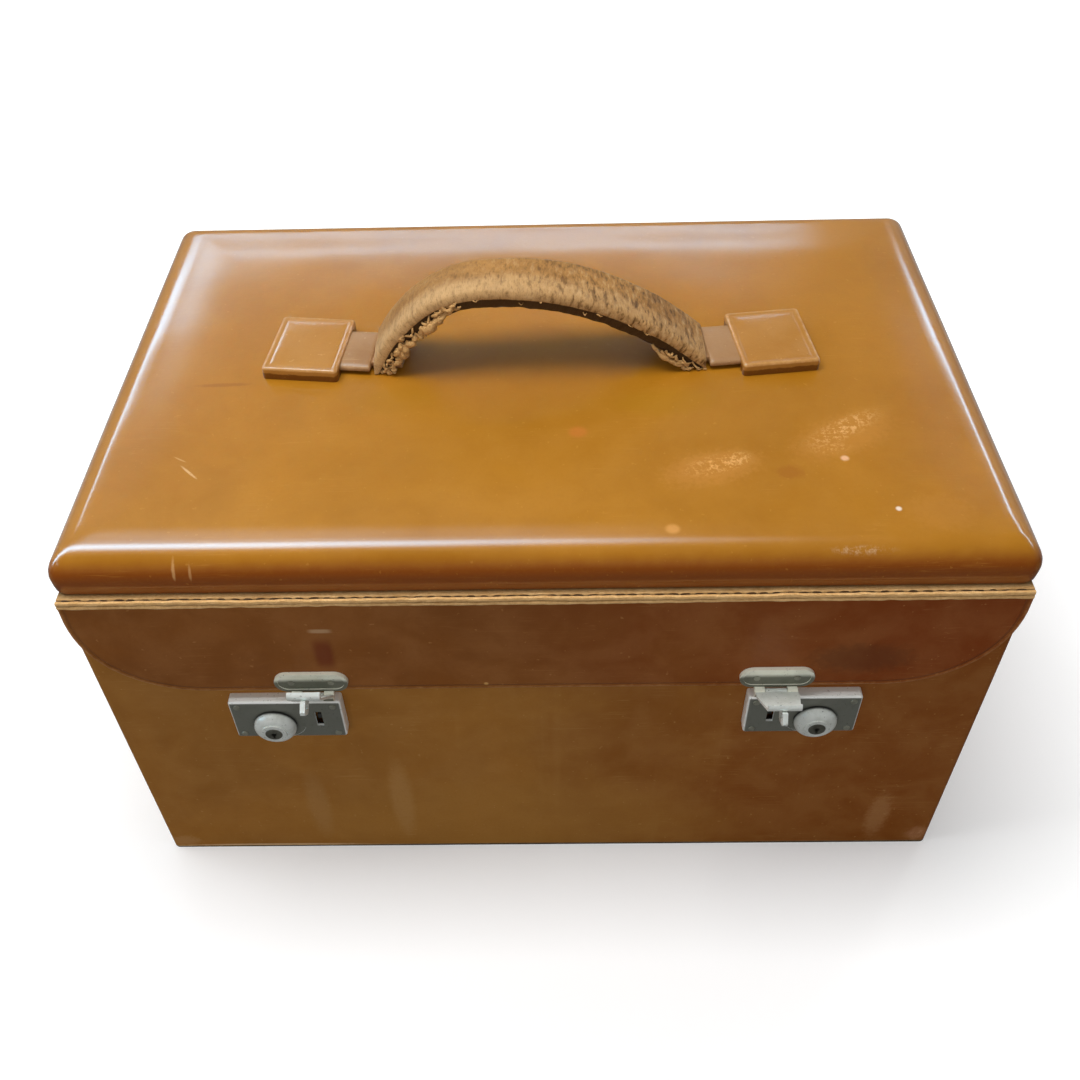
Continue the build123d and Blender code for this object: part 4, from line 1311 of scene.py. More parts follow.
    # foot paints a contact shadow along the base's bottom edge.
    base: RawHide = RawHide("raw_base", light=(224, 186, 132), dark=(150, 106, 60), scale=240.0,
                            foot=1.0)
    torn: RawHide = RawHide("torn_hide", light=(220, 176, 116), dark=(132, 90, 44), scale=900.0,
                            depth=0.15)
    grip: GripHide = GripHide("cracked_grip_hide", light=(198, 162, 114), middle=(168, 120, 62),
                              dark=(112, 70, 26))
    thread: Thread = Thread("waxed_thread", (84, 56, 26))
    nickel: Metal = Metal("dull_nickel", bright=(236, 240, 234), film=(212, 217, 208),
                          spot=(90, 92, 82), roughness=0.34, metallic=0.3)
    rivet: Metal = Metal("dark_nickel", bright=(160, 160, 144), film=(110, 110, 96),
                         spot=(70, 70, 60), roughness=0.36, metallic=0.5)
    barrel: Metal = Metal("dark_barrel", bright=(120, 120, 108), film=(70, 70, 60),
                          spot=(40, 40, 34), roughness=0.36, metallic=0.6)
    # face paints shade on the plate's forward side.
    plate: Metal = Metal("tarnished_plate", bright=(252, 254, 250), film=(242, 246, 238),
                         spot=(110, 112, 100), roughness=0.36, metallic=0.2, face=(78, 79, 64))
    # face paints shade on the forward side, and crest a highlight above it.
    hasp_plate: Metal = Metal("rubbed_plate", bright=(250, 250, 232), film=(234, 234, 214),
                              spot=(100, 102, 90), roughness=0.4, metallic=0.2, face=(84, 85, 68),
                              crest=140.4)
    # hidden paints the slide near-black inside the slot, as shade.
    slide: Metal = Metal("dull_slide", bright=(228, 232, 226), film=(192, 196, 186),
                         spot=(90, 92, 82), roughness=0.34, metallic=0.3, hidden=-123.0)
    cap: Metal = Metal("polished_plate", bright=(222, 220, 214), film=(196, 192, 180),
                       spot=(120, 112, 96), roughness=0.14, wear=0.3)
    brass: Metal = Metal("lacquered_brass", bright=(206, 168, 96), film=(166, 126, 62),
                         spot=(96, 70, 34), roughness=0.3)
    wood: Wood = Wood("planed_softwood", light=(186, 140, 88), dark=(128, 86, 46))
    silk: Silk = Silk("watered_silk", light=(150, 48, 44), dark=(88, 20, 20))
    frame_hide: Hide = Hide("thin_polished_hide", dye=(156, 92, 34), shade=(122, 70, 24),
                            worn=(200, 148, 92), cells=1300.0, ripple=0.04, scratches=0.2)
    mirror: Glass = Glass("silvered_glass", (226, 230, 228), silvered=True)
    glass: Glass = Glass("clear_glass", (238, 246, 243))


class Wardrobe:
    """Makes each finish's material once, when a piece first wants it."""

    def __init__(self, effects: Effects, palette: Palette) -> None:
        """Takes the shared effects and the finishes.

        Args:
            effects: The shared effects.
            palette: The finishes.
        """
        self.effects = effects
        self.palette = palette
        self.made: dict[str, Material] = {}

    def get(self, name: str) -> Material:
        """The material of one of the palette's finishes.

        Args:
            name: The finish's name in the palette.

        Returns:
            The material.
        """
        if name not in self.made:
            self.made[name] = getattr(self.palette, name).material(self.effects)
        return self.made[name]


# ------------------------------ the lid and its flap
@dataclass
class LidCover:
    """The leather drawn over the lid: rolled edges, eased corners and a slightly pillowed top.

    Attributes:
        roll: The radius of the rolled edges.
        corner: The radius of the upright corners.
        leather: The leather's thickness.
        welt_overrun: How far the welt runs past each end.
        welt_depth: How far the welt stands out in front.
        pillow: How far the top rises to its middle.
        pillow_reach: Over which distance it rises.
        ripple: The height of the waves on top.
        bow: How far the walls wander in and out.
        taper: How far in the lower edge starts.
        rubbed: How far from an upright corner its rubbed colour reaches.
        spans: The mesh's spans along X and Y.
        middle: Half the depth of the flat face that closes the top.
    """

    roll: float = 10.5
    corner: float = 6.0
    leather: float = 2.0
    welt_overrun: float = 0.5
    welt_depth: float = 3.8
    pillow: float = 0.55
    pillow_reach: float = 26.0
    ripple: float = 0.05
    bow: float = 0.18
    taper: float = 1.0
    rubbed: float = 14.0
    spans: tuple[int, int] = (72, 48)
    middle: float = 13.0

    def height(self, x: float, y: float, inset: float, top: float) -> float:
        """The top's height at a place that lies inset inside the lid's outline."""
        rise = smooth(0, self.pillow_reach, inset - self.roll)
        return top - self.pillow * (1 - rise) + wander(3, x / 60, y / 40, size=self.ripple) * rise

    def build(self, wardrobe: Wardrobe) -> None:
        """Builds the cover over the lid's solids.

        Args:
            wardrobe: What makes the finishes.
        """
        low, high = corners("lid_leather")
        half_x = high.x - self.welt_overrun
        front = low.y + self.welt_depth
        middle, half_y = (front + high.y) / 2, (high.y - front) / 2
        welt_top = low.z + 2 * self.leather
        stuff = Stuff()

        def ring(inset: float, level: float | None) -> Ring:
            """Adds a ring that lies inset inside the outline, at a level or on the top.

            Args:
                inset: How far inside.
                level: The level, or None for the top.

            Returns:
                Its points' numbers.
            """
            radius = max(self.corner - 0.45 * inset, 1.5)
            spots = [(x, y + middle) for x, y in
                     rounded_ring(half_x - inset, half_y - inset, radius, *self.spans)]
            points, near = [], []
            for x, y in spots:
                z = self.height(x, y, inset, high.z) if level is None else level
                if y < front + 2 * self.leather and inset < self.roll:
                    z = max(z, welt_top - 0.2)
                bow = wander(5, x / 50, y / 50, z / 50, size=self.bow)
                points.append((x * (1 + bow / half_x), y, z))
                reach = math.hypot(half_x - abs(x), half_y - abs(y - middle))
                near.append(max(0.0, 1.02 - reach / self.rubbed) if inset < self.roll * 0.7 else 0.0)
            return stuff.row(points, near)

        skirt = ((self.leather, 2.0), (self.leather, 0.0), (self.taper + 0.3, 0.0), (self.taper, 0.4),
                 (self.taper * 0.4, 5.0), (self.taper * 0.1, 8.0))
        base = high.z - self.pillow - self.roll
        rings = [ring(inset, low.z + rise) for inset, rise in skirt]
        rings += [ring(inset, base + rise) for inset, rise in arc(self.roll, 14)]
        inset = self.roll
        while inset < half_y - self.middle:
            inset += min(2.0 + (inset - self.roll) * 0.2, 8.0)
            rings.append(ring(inset, None))
        stuff.loft(rings, ends=(-1,))
        stuff.make("lid_cover", [wardrobe.get("lid")], Body.LID, Slot.TAN, ["lid_leather"])


@dataclass
class Welt:
    """The two raw leather layers that stand out along the front, stitched through the upper one.

    Attributes:
        layer: The thickness of each layer.
        depth: How deep the layers are.
        eased: How far their front edges are eased.
        uneven: How far in the hand-cut front edge lies on average.
        groove_in: The stitching groove's distance from the front edge.
        groove_depth: Its depth.
        span: The mesh's spans along X.
        stitch: A stitch's length.
        pitch: The distance from one stitch to the next.
        thread: The thread's radius.
        end_trim: How far short of the solid's ends the layers stop.
    """

    layer: float = 2.0
    depth: float = 7.0
    eased: float = 0.62
    uneven: float = 0.2
    groove_in: float = 1.5
    groove_depth: float = 0.5
    span: float = 1.4
    stitch: float = 3.6
    pitch: float = 4.9
    thread: float = 0.42
    end_trim: float = 3.0

    def strip(self, name: str, low_z: float, seed: float, grooved: bool, wardrobe: Wardrobe,
              replaces: str) -> None:
        """Builds one layer, with its front edge cut by hand and so a little uneven.

        Args:
            name: The piece's name.
            low_z: The height of its underside.
            seed: What its unevenness starts from.
            grooved: Whether it has the groove.
            wardrobe: What makes the finishes.
            replaces: The solid that it stands for.
        """
        low, high = corners("lid_leather")
        stuff, rings = Stuff(), []
        half = high.x - self.end_trim
        count = round(2 * half / self.span)
        for k in range(count + 1):
            x = half * (2 * k / count - 1)
            front = low.y + self.uneven + wander(seed, x / 4.5, size=0.32) + wander(seed, x / 21, size=0.3)
            top = low_z + self.layer - 0.14 + wander(seed + 1, x / 7, size=0.22)
            foot = low_z + 0.06 + wander(seed + 2, x / 8, size=0.08)
            back = low.y + self.depth
            groove = self.groove_depth * (1 + wander(seed + 3, x / 3, size=0.8)) if grooved else 0.0
            line = front + self.groove_in
            eased = self.eased
            section = [(back, foot), (front + eased, foot), (front + 0.1, foot + 0.25),
                       (front, foot + eased), (front, top - eased), (front + 0.12, top - 0.16),
                       (front + eased, top), (line - 0.5, top), (line - 0.22, top - groove * 0.6),
                       (line, top - groove), (line + 0.22, top - groove * 0.6), (line + 0.5, top),
                       (line + 1.6, top - 0.1), (back, top - 0.1)]
            # near sets the painted shade: most in the groove, under the layer and at its back.
            near = (0.9, 0.9, 0.5, 0, 0, 0.1, 0.1, 0.1, 0.7, 1.0 if grooved else 0.0, 0.7, 0.2, 0.5, 0.9)
            rings.append(stuff.row([(x, y, z) for y, z in section], near))
        stuff.loft(rings)
        stuff.make(name, [wardrobe.get("raw")], Body.LID, Slot.RAW, [replaces])

    def stitches(self, wardrobe: Wardrobe) -> None:
        """Lays the thread in the upper layer's groove.

        Args:
            wardrobe: What makes the finishes.
        """
        low, high = corners("lid_leather")
        stuff, dice = Stuff(), random.Random(4)
        x, level = low.x + 5.0, low.z + 2 * self.layer - 0.42
        while x < high.x - 7:
            length = self.stitch * dice.uniform(0.75, 1.1)
            y = low.y + self.uneven + self.groove_in + dice.uniform(-0.12, 0.12)
            tilt = dice.uniform(-0.16, 0.16)
            route = [Vector((x + length * t, y + tilt * (t - 0.5), level - 0.35 * (2 * t - 1) ** 4))
                     for t in (0, 0.08, 0.25, 0.5, 0.75, 0.92, 1)]
            stuff.tube(route, lambda t: self.thread * (0.75 + 0.25 * math.sin(math.pi * t)), 6)
            x += self.pitch * dice.uniform(0.92, 1.08)
        stuff.make("welt_stitching", [wardrobe.get("thread")], Body.LID)

    def build(self, wardrobe: Wardrobe) -> None:
        """Builds both layers and the stitching.

        Args:
            wardrobe: What makes the finishes.
        """
        low = corners("lid_leather")[0]
        self.strip("welt_upper", low.z + self.layer, 11, True, wardrobe, "lid_leather")
        self.strip("welt_lower", low.z, 14, False, wardrobe, "front_flap")
        self.stitches(wardrobe)


@dataclass
class Flap:
    """The leather flap that hangs over the front, with a turned edge and one lifting corner.

    Attributes:
        corner: The radius of its lower corners.
        overhang: How far it runs past the case's sides.
        thickness: Its thickness.
        gap: Its distance from the case.
        turned: The width of the turned edge.
        lift: How far the left end stands off.
        ripple: The height of its waves.
        levels: The mesh's rows, as shares of its height.
    """

    corner: float = 46.5
    overhang: float = -0.5
    thickness: float = 2.5
    gap: float = 0.3
    turned: float = 9.0
    lift: float = 1.6
    ripple: float = 0.25
    levels: tuple[float, ...] = (0.0, 0.008, 0.02, 0.035, 0.055, 0.08, 0.11, 0.15, 0.21, 0.3, 0.42,
                                 0.56, 0.7, 0.85, 1.0)

    def build(self, wardrobe: Wardrobe) -> None:
        """Builds the flap as a front and a back grid joined round their edge.

        Args:
            wardrobe: What makes the finishes.
        """
        low = corners("front_flap")[0]
        case_low, case_high = corners("body_leather")
        half = case_high.x + self.overhang
        top = corners("lid_leather")[0].z + 0.6
        back = case_low.y - self.gap
        bend = self.corner
        steps = [half - bend + up for _, up in arc(bend, 18, 1)]
        flat = [(half - bend) * k / 38 for k in range(-38, 39)]
        columns = [-x for x in reversed(steps)] + flat + steps

        def edge(x: float) -> float:
            """The outline's height below a place along the flap."""
            over = max(0.0, abs(x) - (half - bend))
            return low.z + bend - math.sqrt(max(0.0, bend * bend - over * over))

        def reach(x: float, z: float) -> float:
            """The distance from a place to the outline.

            Args:
                x: The place along X.
                z: Its height.

            Returns:
                The distance.
            """
            over, under = abs(x) - (half - bend), low.z + bend - z
            if over > 0 and under > 0:
                return bend - math.hypot(over, under)
            return min(half - abs(x), z - low.z)

        stuff = Stuff()
        grids: list[list[Ring]] = []
        for outer in (True, False):
            rows = []
            for share in self.levels:
                points, near = [], []
                for x in columns:
                    z = edge(x) + (top - edge(x)) * share
                    away = self.lift * smooth(half - 46, half, abs(x)) * smooth(top, low.z + 20, z)
                    away *= 1.0 if x < 0 else 0.35
                    inside = max(0.0, reach(x, z))
                    y = back - away
                    if outer:
                        round_off = 0.8 * max(0.0, 1 - inside / 0.9) ** 2
                        wave = wander(8, x / 30, z / 22, size=self.ripple)
                        y -= self.thickness - round_off + wave * smooth(3, 16, inside) * 0.6
                    points.append((x, y, z))
                    near.append(max(0.0, 1 - inside / self.turned) if outer else 0.0)
                rows.append(stuff.row(points, near))
            stuff.loft(rows, ends=(), closed=False)
            grids.append(rows)
        front, rear = grids
        stuff.bridge(front[0], rear[0], closed=False)
        stuff.bridge(front[-1], rear[-1], closed=False)
        for end in (0, -1):
            stuff.bridge([row[end] for row in front], [row[end] for row in rear], closed=False)
        stuff.make("flap_panel", [wardrobe.get("flap")], Body.LID, Slot.BROWN, ["front_flap"])


# ------------------------------ the carrying handle
@dataclass
class HandleEnd:
    """The tab on the lid and the tongue that slides in it, at one end of the handle.

    Places along the strap are counted outward from the grip's end, and heights up from the lid.

    Attributes:
        side: Which end it is.
        grip_half: Half the distance between the grip's ends.
        y: The strap's place along Y.
        skew: The turn of the end in degrees, as the strap is worn crooked.
        gap: The tongue's distance from the grip's end.
        tab_start: Where the tab starts.
        tab_length: The tab's length.
        tab_width: The tab's width.
        tab_height: The tab's height.
        tab_edge: The radius of the tab's edges.
        border: How far in the pressed line runs.
        tongue_width: The tongue's width.
        tongue_low: The height of its underside.
        tongue_high: The height of its top.
        tongue_in_tab: How far the tongue runs into the tab.
        core_width: The width of the core strap that runs on into the grip.
        core: The core's thickness.
        core_in_grip: How far the core runs into the grip.
        around: The mesh's spans around the tongue.
    """

    side: Side
    grip_half: float = 70.5
    y: float = 2.5
    skew: float = 6.0
    gap: float = 0.3
    tab_start: float = 13.0
    tab_length: float = 32.7
    tab_width: float = 38.0
    tab_height: float = 5.6
    tab_edge: float = 1.2
    border: float = 2.7
    tongue_width: float = 26.0
    tongue_low: float = 0.8
    tongue_high: float = 4.4
    tongue_in_tab: float = 16.0
    core_width: float = 18.0
    core: float = 2.2
    core_in_grip: float = 13.0
    around: int = 44

    def place(self) -> Matrix:
        """The end's own frame: X outward from the grip, Z up from the lid.

        Returns:
            The frame, in millimetres.
        """
        top = corners("lid_board")[1].z + LidCover.leather
        turn = self.skew if self.side is Side.RIGHT else 180 - self.skew
        return Matrix.Translation((self.side.value * self.grip_half, self.y, top)) @ Matrix.Rotation(
            math.radians(turn), 4, "Z")

    def tab(self, wardrobe: Wardrobe) -> None:
        """Builds the tab: turned borders, a slightly cushioned middle and an open mouth.

        Args:
            wardrobe: What makes the finishes.
        """
        place, stuff = self.place(), Stuff()
        half_x, half_y = self.tab_length / 2, self.tab_width / 2
        centre = self.tab_start + half_x
        mouth = self.tongue_width / 2 + 0.6

        def ring(inset: float, level: float, near: float) -> Ring:
            """Adds a ring that lies inset inside the tab's outline.

            Args:
                inset: How far inside.
                level: Its height.
                near: How near it lies to an edge.

            Returns:
                Its points' numbers.
            """
            radius = max(1.6 - inset * 0.5, 0.5)
            spots = rounded_ring(half_x - inset, half_y - inset, radius, 22, 26, 4)
            return stuff.row([place @ Vector((centre + x, y, level + wander(
                2.0 * self.side.value, x / 9, y / 9, size=0.10) * smooth(1, 5, inset)))
                for x, y in spots], near)

        roll, top = self.tab_edge, self.tab_height
        rings = [ring(0.15, -0.6, 0.0), ring(0.0, 0.3, 0.0), ring(0.0, top - roll, 0.55)]
        rings += [ring(inset, top - roll + rise, 0.86) for inset, rise in arc(roll, 5, 1)]
        rings += [ring(1.7, top, 0.7), ring(2.2, top - 0.08, 0.4), ring(self.border, top - 0.2, 0.0)]
        cushion = ((3.2, 0.1), (4.2, 0.02), (6.5, -0.04), (10.0, -0.08), (14.0, -0.1))
        rings += [ring(inset, top - drop, 0.0) for inset, drop in cushion]
        for number, (a, b) in enumerate(zip(rings, rings[1:])):
            start = len(stuff.faces)
            stuff.bridge(a, b)
            if number < 2:
                for face in range(len(stuff.faces) - 1, start - 1, -1):
                    local = [place.inverted() @ stuff.points[i] for i in stuff.faces[face]]
                    if all(p.x < self.tab_start + 0.4 and abs(p.y) < mouth for p in local):
                        del stuff.faces[face], stuff.finish[face]
        stuff.cap(rings[-1])
        word = self.side.word
        stuff.make(f"tab_{word}", [wardrobe.get("strap")], Body.LID, Slot.TAN, [f"handle_tab_{word}"])

    def tongue(self, wardrobe: Wardrobe) -> None:
        """Builds the tongue, with rubbed edges, and the core strap that runs into the grip.

        Args:
            wardrobe: What makes the finishes.
        """
        place, stuff = self.place(), Stuff()
        middle = (self.tongue_low + self.tongue_high) / 2
        thick = self.tongue_high - self.tongue_low
        end = self.tab_start + self.tongue_in_tab
        stations = [(self.gap, 0.55), (self.gap + 0.25, 0.85), (self.gap + 0.8, 1.0)]
        stations += [(self.gap + 0.8 + (end - self.gap - 1.6) * k / 18, 1.0) for k in range(1, 19)]
        stations += [(end - 0.3, 0.85), (end, 0.5)]
        rings = []
        for x, full in stations:
            points, near = [], []
            for k in range(self.around):
                angle = 2 * math.pi * k / self.around
                c, s = math.cos(angle), math.sin(angle)
                y = math.copysign(abs(c) ** 0.3, c) * (self.tongue_width / 2 - (1 - full) * 0.5)
                z = math.copysign(abs(s) ** 0.75, s) * thick / 2 * full
                z += wander(21, x / 6, y / 6, size=0.12) if s > 0 else 0.0
                points.append(place @ Vector((x, y, middle + min(z, thick / 2))))
                near.append(0.8 if abs(y) > self.tongue_width / 2 - 1.2 or x < self.gap + 1 else 0.0)
            rings.append(stuff.row(points, near))
        stuff.loft(rings)
        upper = ((1, 0.6), (0.97, 1), (0, 1), (-0.97, 1), (-1, 0.6))
        section = [*upper, *((-y, -z) for y, z in upper)]
        core = []
        for k in range(8):
            x = -self.core_in_grip + (self.core_in_grip + self.gap + 0.6) * k / 7
            core.append(stuff.row(place @ Vector((x, y * self.core_width / 2, middle + z * self.core / 2))
                                  for y, z in section))
        stuff.loft(core)
        word = self.side.word
        body = Body.TONGUE_LEFT if self.side is Side.LEFT else Body.TONGUE_RIGHT
        stuff.make(f"strap_tongue_{word}", [wardrobe.get("tongue")], body, Slot.TAN,
                   [f"handle_tongue_{word}"])

    def build(self, wardrobe: Wardrobe) -> None:
        """Builds the tab and its tongue."""
        self.tab(wardrobe)
        self.tongue(wardrobe)


@dataclass
class Grip:
    """The arched strap, stuffed and stitched, worn raw and torn open under its left end.

    Attributes:
        half: Half the distance between its ends.
        y: Its place along Y.
        rise: The height of its middle line above the lid.
        width: Its width.
        thickness: Its thickness.
        bends: The radii of its four bends from left to right.
        gap: The least distance from the lid.
        step: The mesh's spans along it.
        pinch: How far its front is narrowed near the left end.
        crack: The depth of the cracks across it.
        crown: How far its top bulges.
        lip: How far the upper layer hangs below the middle line.
        under_inset: How far in the lower layer starts.
        flat_keep: The share of its height that would stay when the tongues are pushed in; not used.
    """

    half: float = 70.5
    y: float = 3.5
    rise: float = 37.2
    width: float = 28.0
    thickness: float = 9.6
    bends: tuple[float, ...] = (58.0, 40.0, 112.0, 83.0)
    gap: float = 0.35
    step: float = 0.65
    pinch: float = 0.24
    crack: float = 0.16
    crown: float = 0.4
    lip: float = 0.2
    under_inset: float = 0.9
    flat_keep: float = 0.41

    def route(self) -> list[tuple[float, float, float, float]]:
        """The strap's middle line as it stands above the lid.

        Returns:
            Its points and directions, along X and upward.
        """
        left, right, rise = -self.half, self.half, self.rise
        return route_with_bends(((left + 0.6, -2.2), (left + 12.1, 18.9), (left + 33.5, rise),
                                 (right - 58.0, rise), (right - 19.3, 15.8), (right + 1.5, -1.4)),
                                self.bends, self.step)

    def section(self) -> list[tuple[float, float]]:
        """The strap's section across: a rounded upper layer that overhangs the darker lower one.

        Returns:
            Places across and out, around the section.
        """
        half, thick, lip = self.width / 2 - 0.3, self.thickness / 2, self.lip
        under = half - self.under_inset
        over = [(half - 0.5, -lip), (half - 0.1, 0.3 - lip), (half, 1.0 - lip), (half - 0.15, 1.9 - lip),
                (half - 0.6, thick - 1.5), (half - 1.4, thick - 0.8), (half - 2.4, thick - 0.5)]
        reach = half - 2.4
        flat = [(reach * (1 - k / 9), thick - 0.5 + self.crown * (1 - (1 - k / 9) ** 2))
                for k in range(1, 9)]
        below = [(under, -lip), (under, -thick * 0.6), (under - 0.5, 0.3 - thick),
                 (under * 0.6, 0.15 - thick), (under * 0.25, 0.15 - thick)]
        right = list(reversed(below)) + over + flat
        left = [(-y, n) for y, n in reversed(right)]
        return [*right, (0.0, thick - 0.5 + self.crown), *left]

    def settle(self, point: Vector, top: float) -> Vector:
        """Keeps a point above the lid and between the tongues."""
        limit = self.half - 0.2
        return Vector((min(max(point.x, -limit), limit), point.y, max(point.z, top + self.gap)))

    def strap(self, stuff: Stuff, top: float) -> list[tuple[Vector, Vector, Vector]]:
        """Adds the strap itself.

        Args:
            stuff: What the strap is added to.
            top: The height of the lid.

        Returns:
            The middle line's points, with the directions along it and out of it.
        """
        route, rings, line = self.route(), [], []
        length = len(route) * self.step
        for k, (x, z, dx, dz) in enumerate(route):
            s = k * self.step
            centre = Vector((x, self.y, top + z))
            along, out = Vector((dx, 0, dz)), Vector((-dz, 0, dx))
            line.append((centre, along, out))
            tight = smooth(0.25, 0.8, s / length)
            pinch = self.pinch * smooth(0.02, 0.16, s / length) * (1 - smooth(0.26, 0.6, s / length))
            points, strap = [], []
            for y, n in self.section():
                ragged = wander(31, s / 5, y, size=0.4) + wander(32, s / 1.6, y, size=0.16)
                edge = smooth(self.width / 2 - 2.5, self.width / 2, abs(y))
                ridge = abs(wander(33, s / 2.1, y / 7)) + 0.5 * abs(wander(34, s / 0.9, y / 4))
                strap.append((s, y, n))
                if n > -0.1:
                    n += wander(35, s / 14, y / 9, size=0.3) - self.crack * (0.35 + tight) * ridge
                    y += math.copysign(ragged * edge, y)
                else:
                    n += wander(36, s / 3, y / 4, size=0.35)
                    y *= 1 + wander(37, s / 4, size=0.03)
                y *= 1 - pinch if y > 0 else 1
                points.append(self.settle(centre + out * n + Vector((0, y, 0)), top))
            rings.append(stuff.row(points, 0.0, strap))
        stuff.loft(rings)
        return line

    def tears(self, stuff: Stuff, line: list[tuple[Vector, Vector, Vector]], top: float) -> None:
        """Adds the strands and curled scraps that hang out of the torn seam.

        Args:
            stuff: What they are added to.
            line: The strap's middle line and directions.
            top: The height of the lid.
        """
        dice = random.Random(12)
        length = len(line)

        def strand(at: float, count: int, thick: float, reach: float, drop: float,
                   seam: float) -> None:
            """Adds one strand.

            Args:
                at: Where it starts, as a share of the strap's length.
                count: How many points it has.
                thick: Its radius.
                reach: Its length.
                drop: How far it sags away from the strap.
                seam: Where it starts in the strap's thickness, from 0 in the middle to 1 below.
            """
            centre, along, out = line[min(int(at * length), length - 1)]
            start = centre - out * self.thickness / 2 * seam + Vector((0, 0.8 - self.width / 2, 0))
            swing, bend = dice.uniform(-0.9, 0.9), dice.uniform(2.4, 3.8)
            route = []
            for k in range(count):
                t = k / (count - 1)
                curl = math.sin(t * bend + swing)
                spot = start + along * reach * t - out * drop * math.sin(math.pi * min(t * 1.15, 1.0))
                spot += Vector((0, -1.0 * curl, 0)) + Vector([dice.uniform(-0.3, 0.3) for _ in range(3)])
                route.append(self.settle(spot, top + thick * 0.8))
            stuff.tube(route, lambda t: thick * (0.5 + 0.5 * math.sin(math.pi * min(t + 0.15, 1)))
                       * (1 + wander(41, t * 7, at * 50, size=0.8)), 9, 1)

        for k in range(26):
            strand(0.02 + 0.0115 * k, 8, dice.uniform(0.5, 1.25), dice.uniform(3, 7.5),
                   dice.uniform(0.4, 2.6), dice.uniform(-0.1, 1.0))
        for at, thick, reach, drop in ((0.20, 1.9, 12.0, 1.6), (0.235, 1.5, 10.0, 0.8),
                                       (0.10, 1.7, 6.0, 2.4), (0.065, 1.5, 6.5, 2.2),
                                       (0.03, 1.3, 7.0, 1.4), (0.14, 1.6, 7.0, 2.0)):
            strand(at, 12, thick, reach, drop, 0.7)
        for at, thick, reach, drop in ((0.83, 0.85, 19.0, 2.2), (0.86, 0.7, 15.0, 1.6),
                                       (0.93, 0.9, 6.0, 1.0)):
            strand(at, 16, thick, reach, drop, 0.9)
        for k in range(8):
            strand(0.87 + 0.015 * k, 7, dice.uniform(0.35, 0.7), dice.uniform(3, 6),
                   dice.uniform(0.3, 1.4), dice.uniform(0.0, 1.0))
        for at in (0.31, 0.36, 0.47, 0.52, 0.63, 0.66, 0.74, 0.79):
            strand(at, 6, dice.uniform(0.12, 0.4), dice.uniform(1.0, 3.5), dice.uniform(0.1, 0.5),
                   dice.uniform(-0.1, 0.5))

    def build(self, wardrobe: Wardrobe) -> None:
        """Builds the grip and gives it a mesh of its own.

        Args:
            wardrobe: What makes the finishes.
        """
        top = corners("lid_board")[1].z + LidCover.leather
        stuff = Stuff()
        line = self.strap(stuff, top)
        self.tears(stuff, line, top)
        made = stuff.make("grip", [wardrobe.get("grip"), wardrobe.get("torn")], Body.LID, Slot.RAW,
                          ["handle_grip"], sharp=60.0)
        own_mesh(made)


# ------------------------------ studio
@dataclass
class Lamp:
    """A rectangular soft lamp that points at the case and leaves no image of itself in the gloss."""

    name: str
    place: Place
    size: tuple[float, float]
    power: float
    aim: Place = (0.0, 0.0, 0.12)

    def build(self) -> None:
        """Makes the lamp, with its place in metres."""
        light = bpy.data.lights.new(self.name, "AREA")
        light.shape = "RECTANGLE"
        light.size, light.size_y = self.size
        light.energy = self.power
        made = placed(self.name, light)
        made.location = self.place
        made.visible_glossy = False
        direction = Vector(self.aim) - Vector(self.place)
        made.rotation_euler = direction.to_track_quat("-Z", "Y").to_euler()


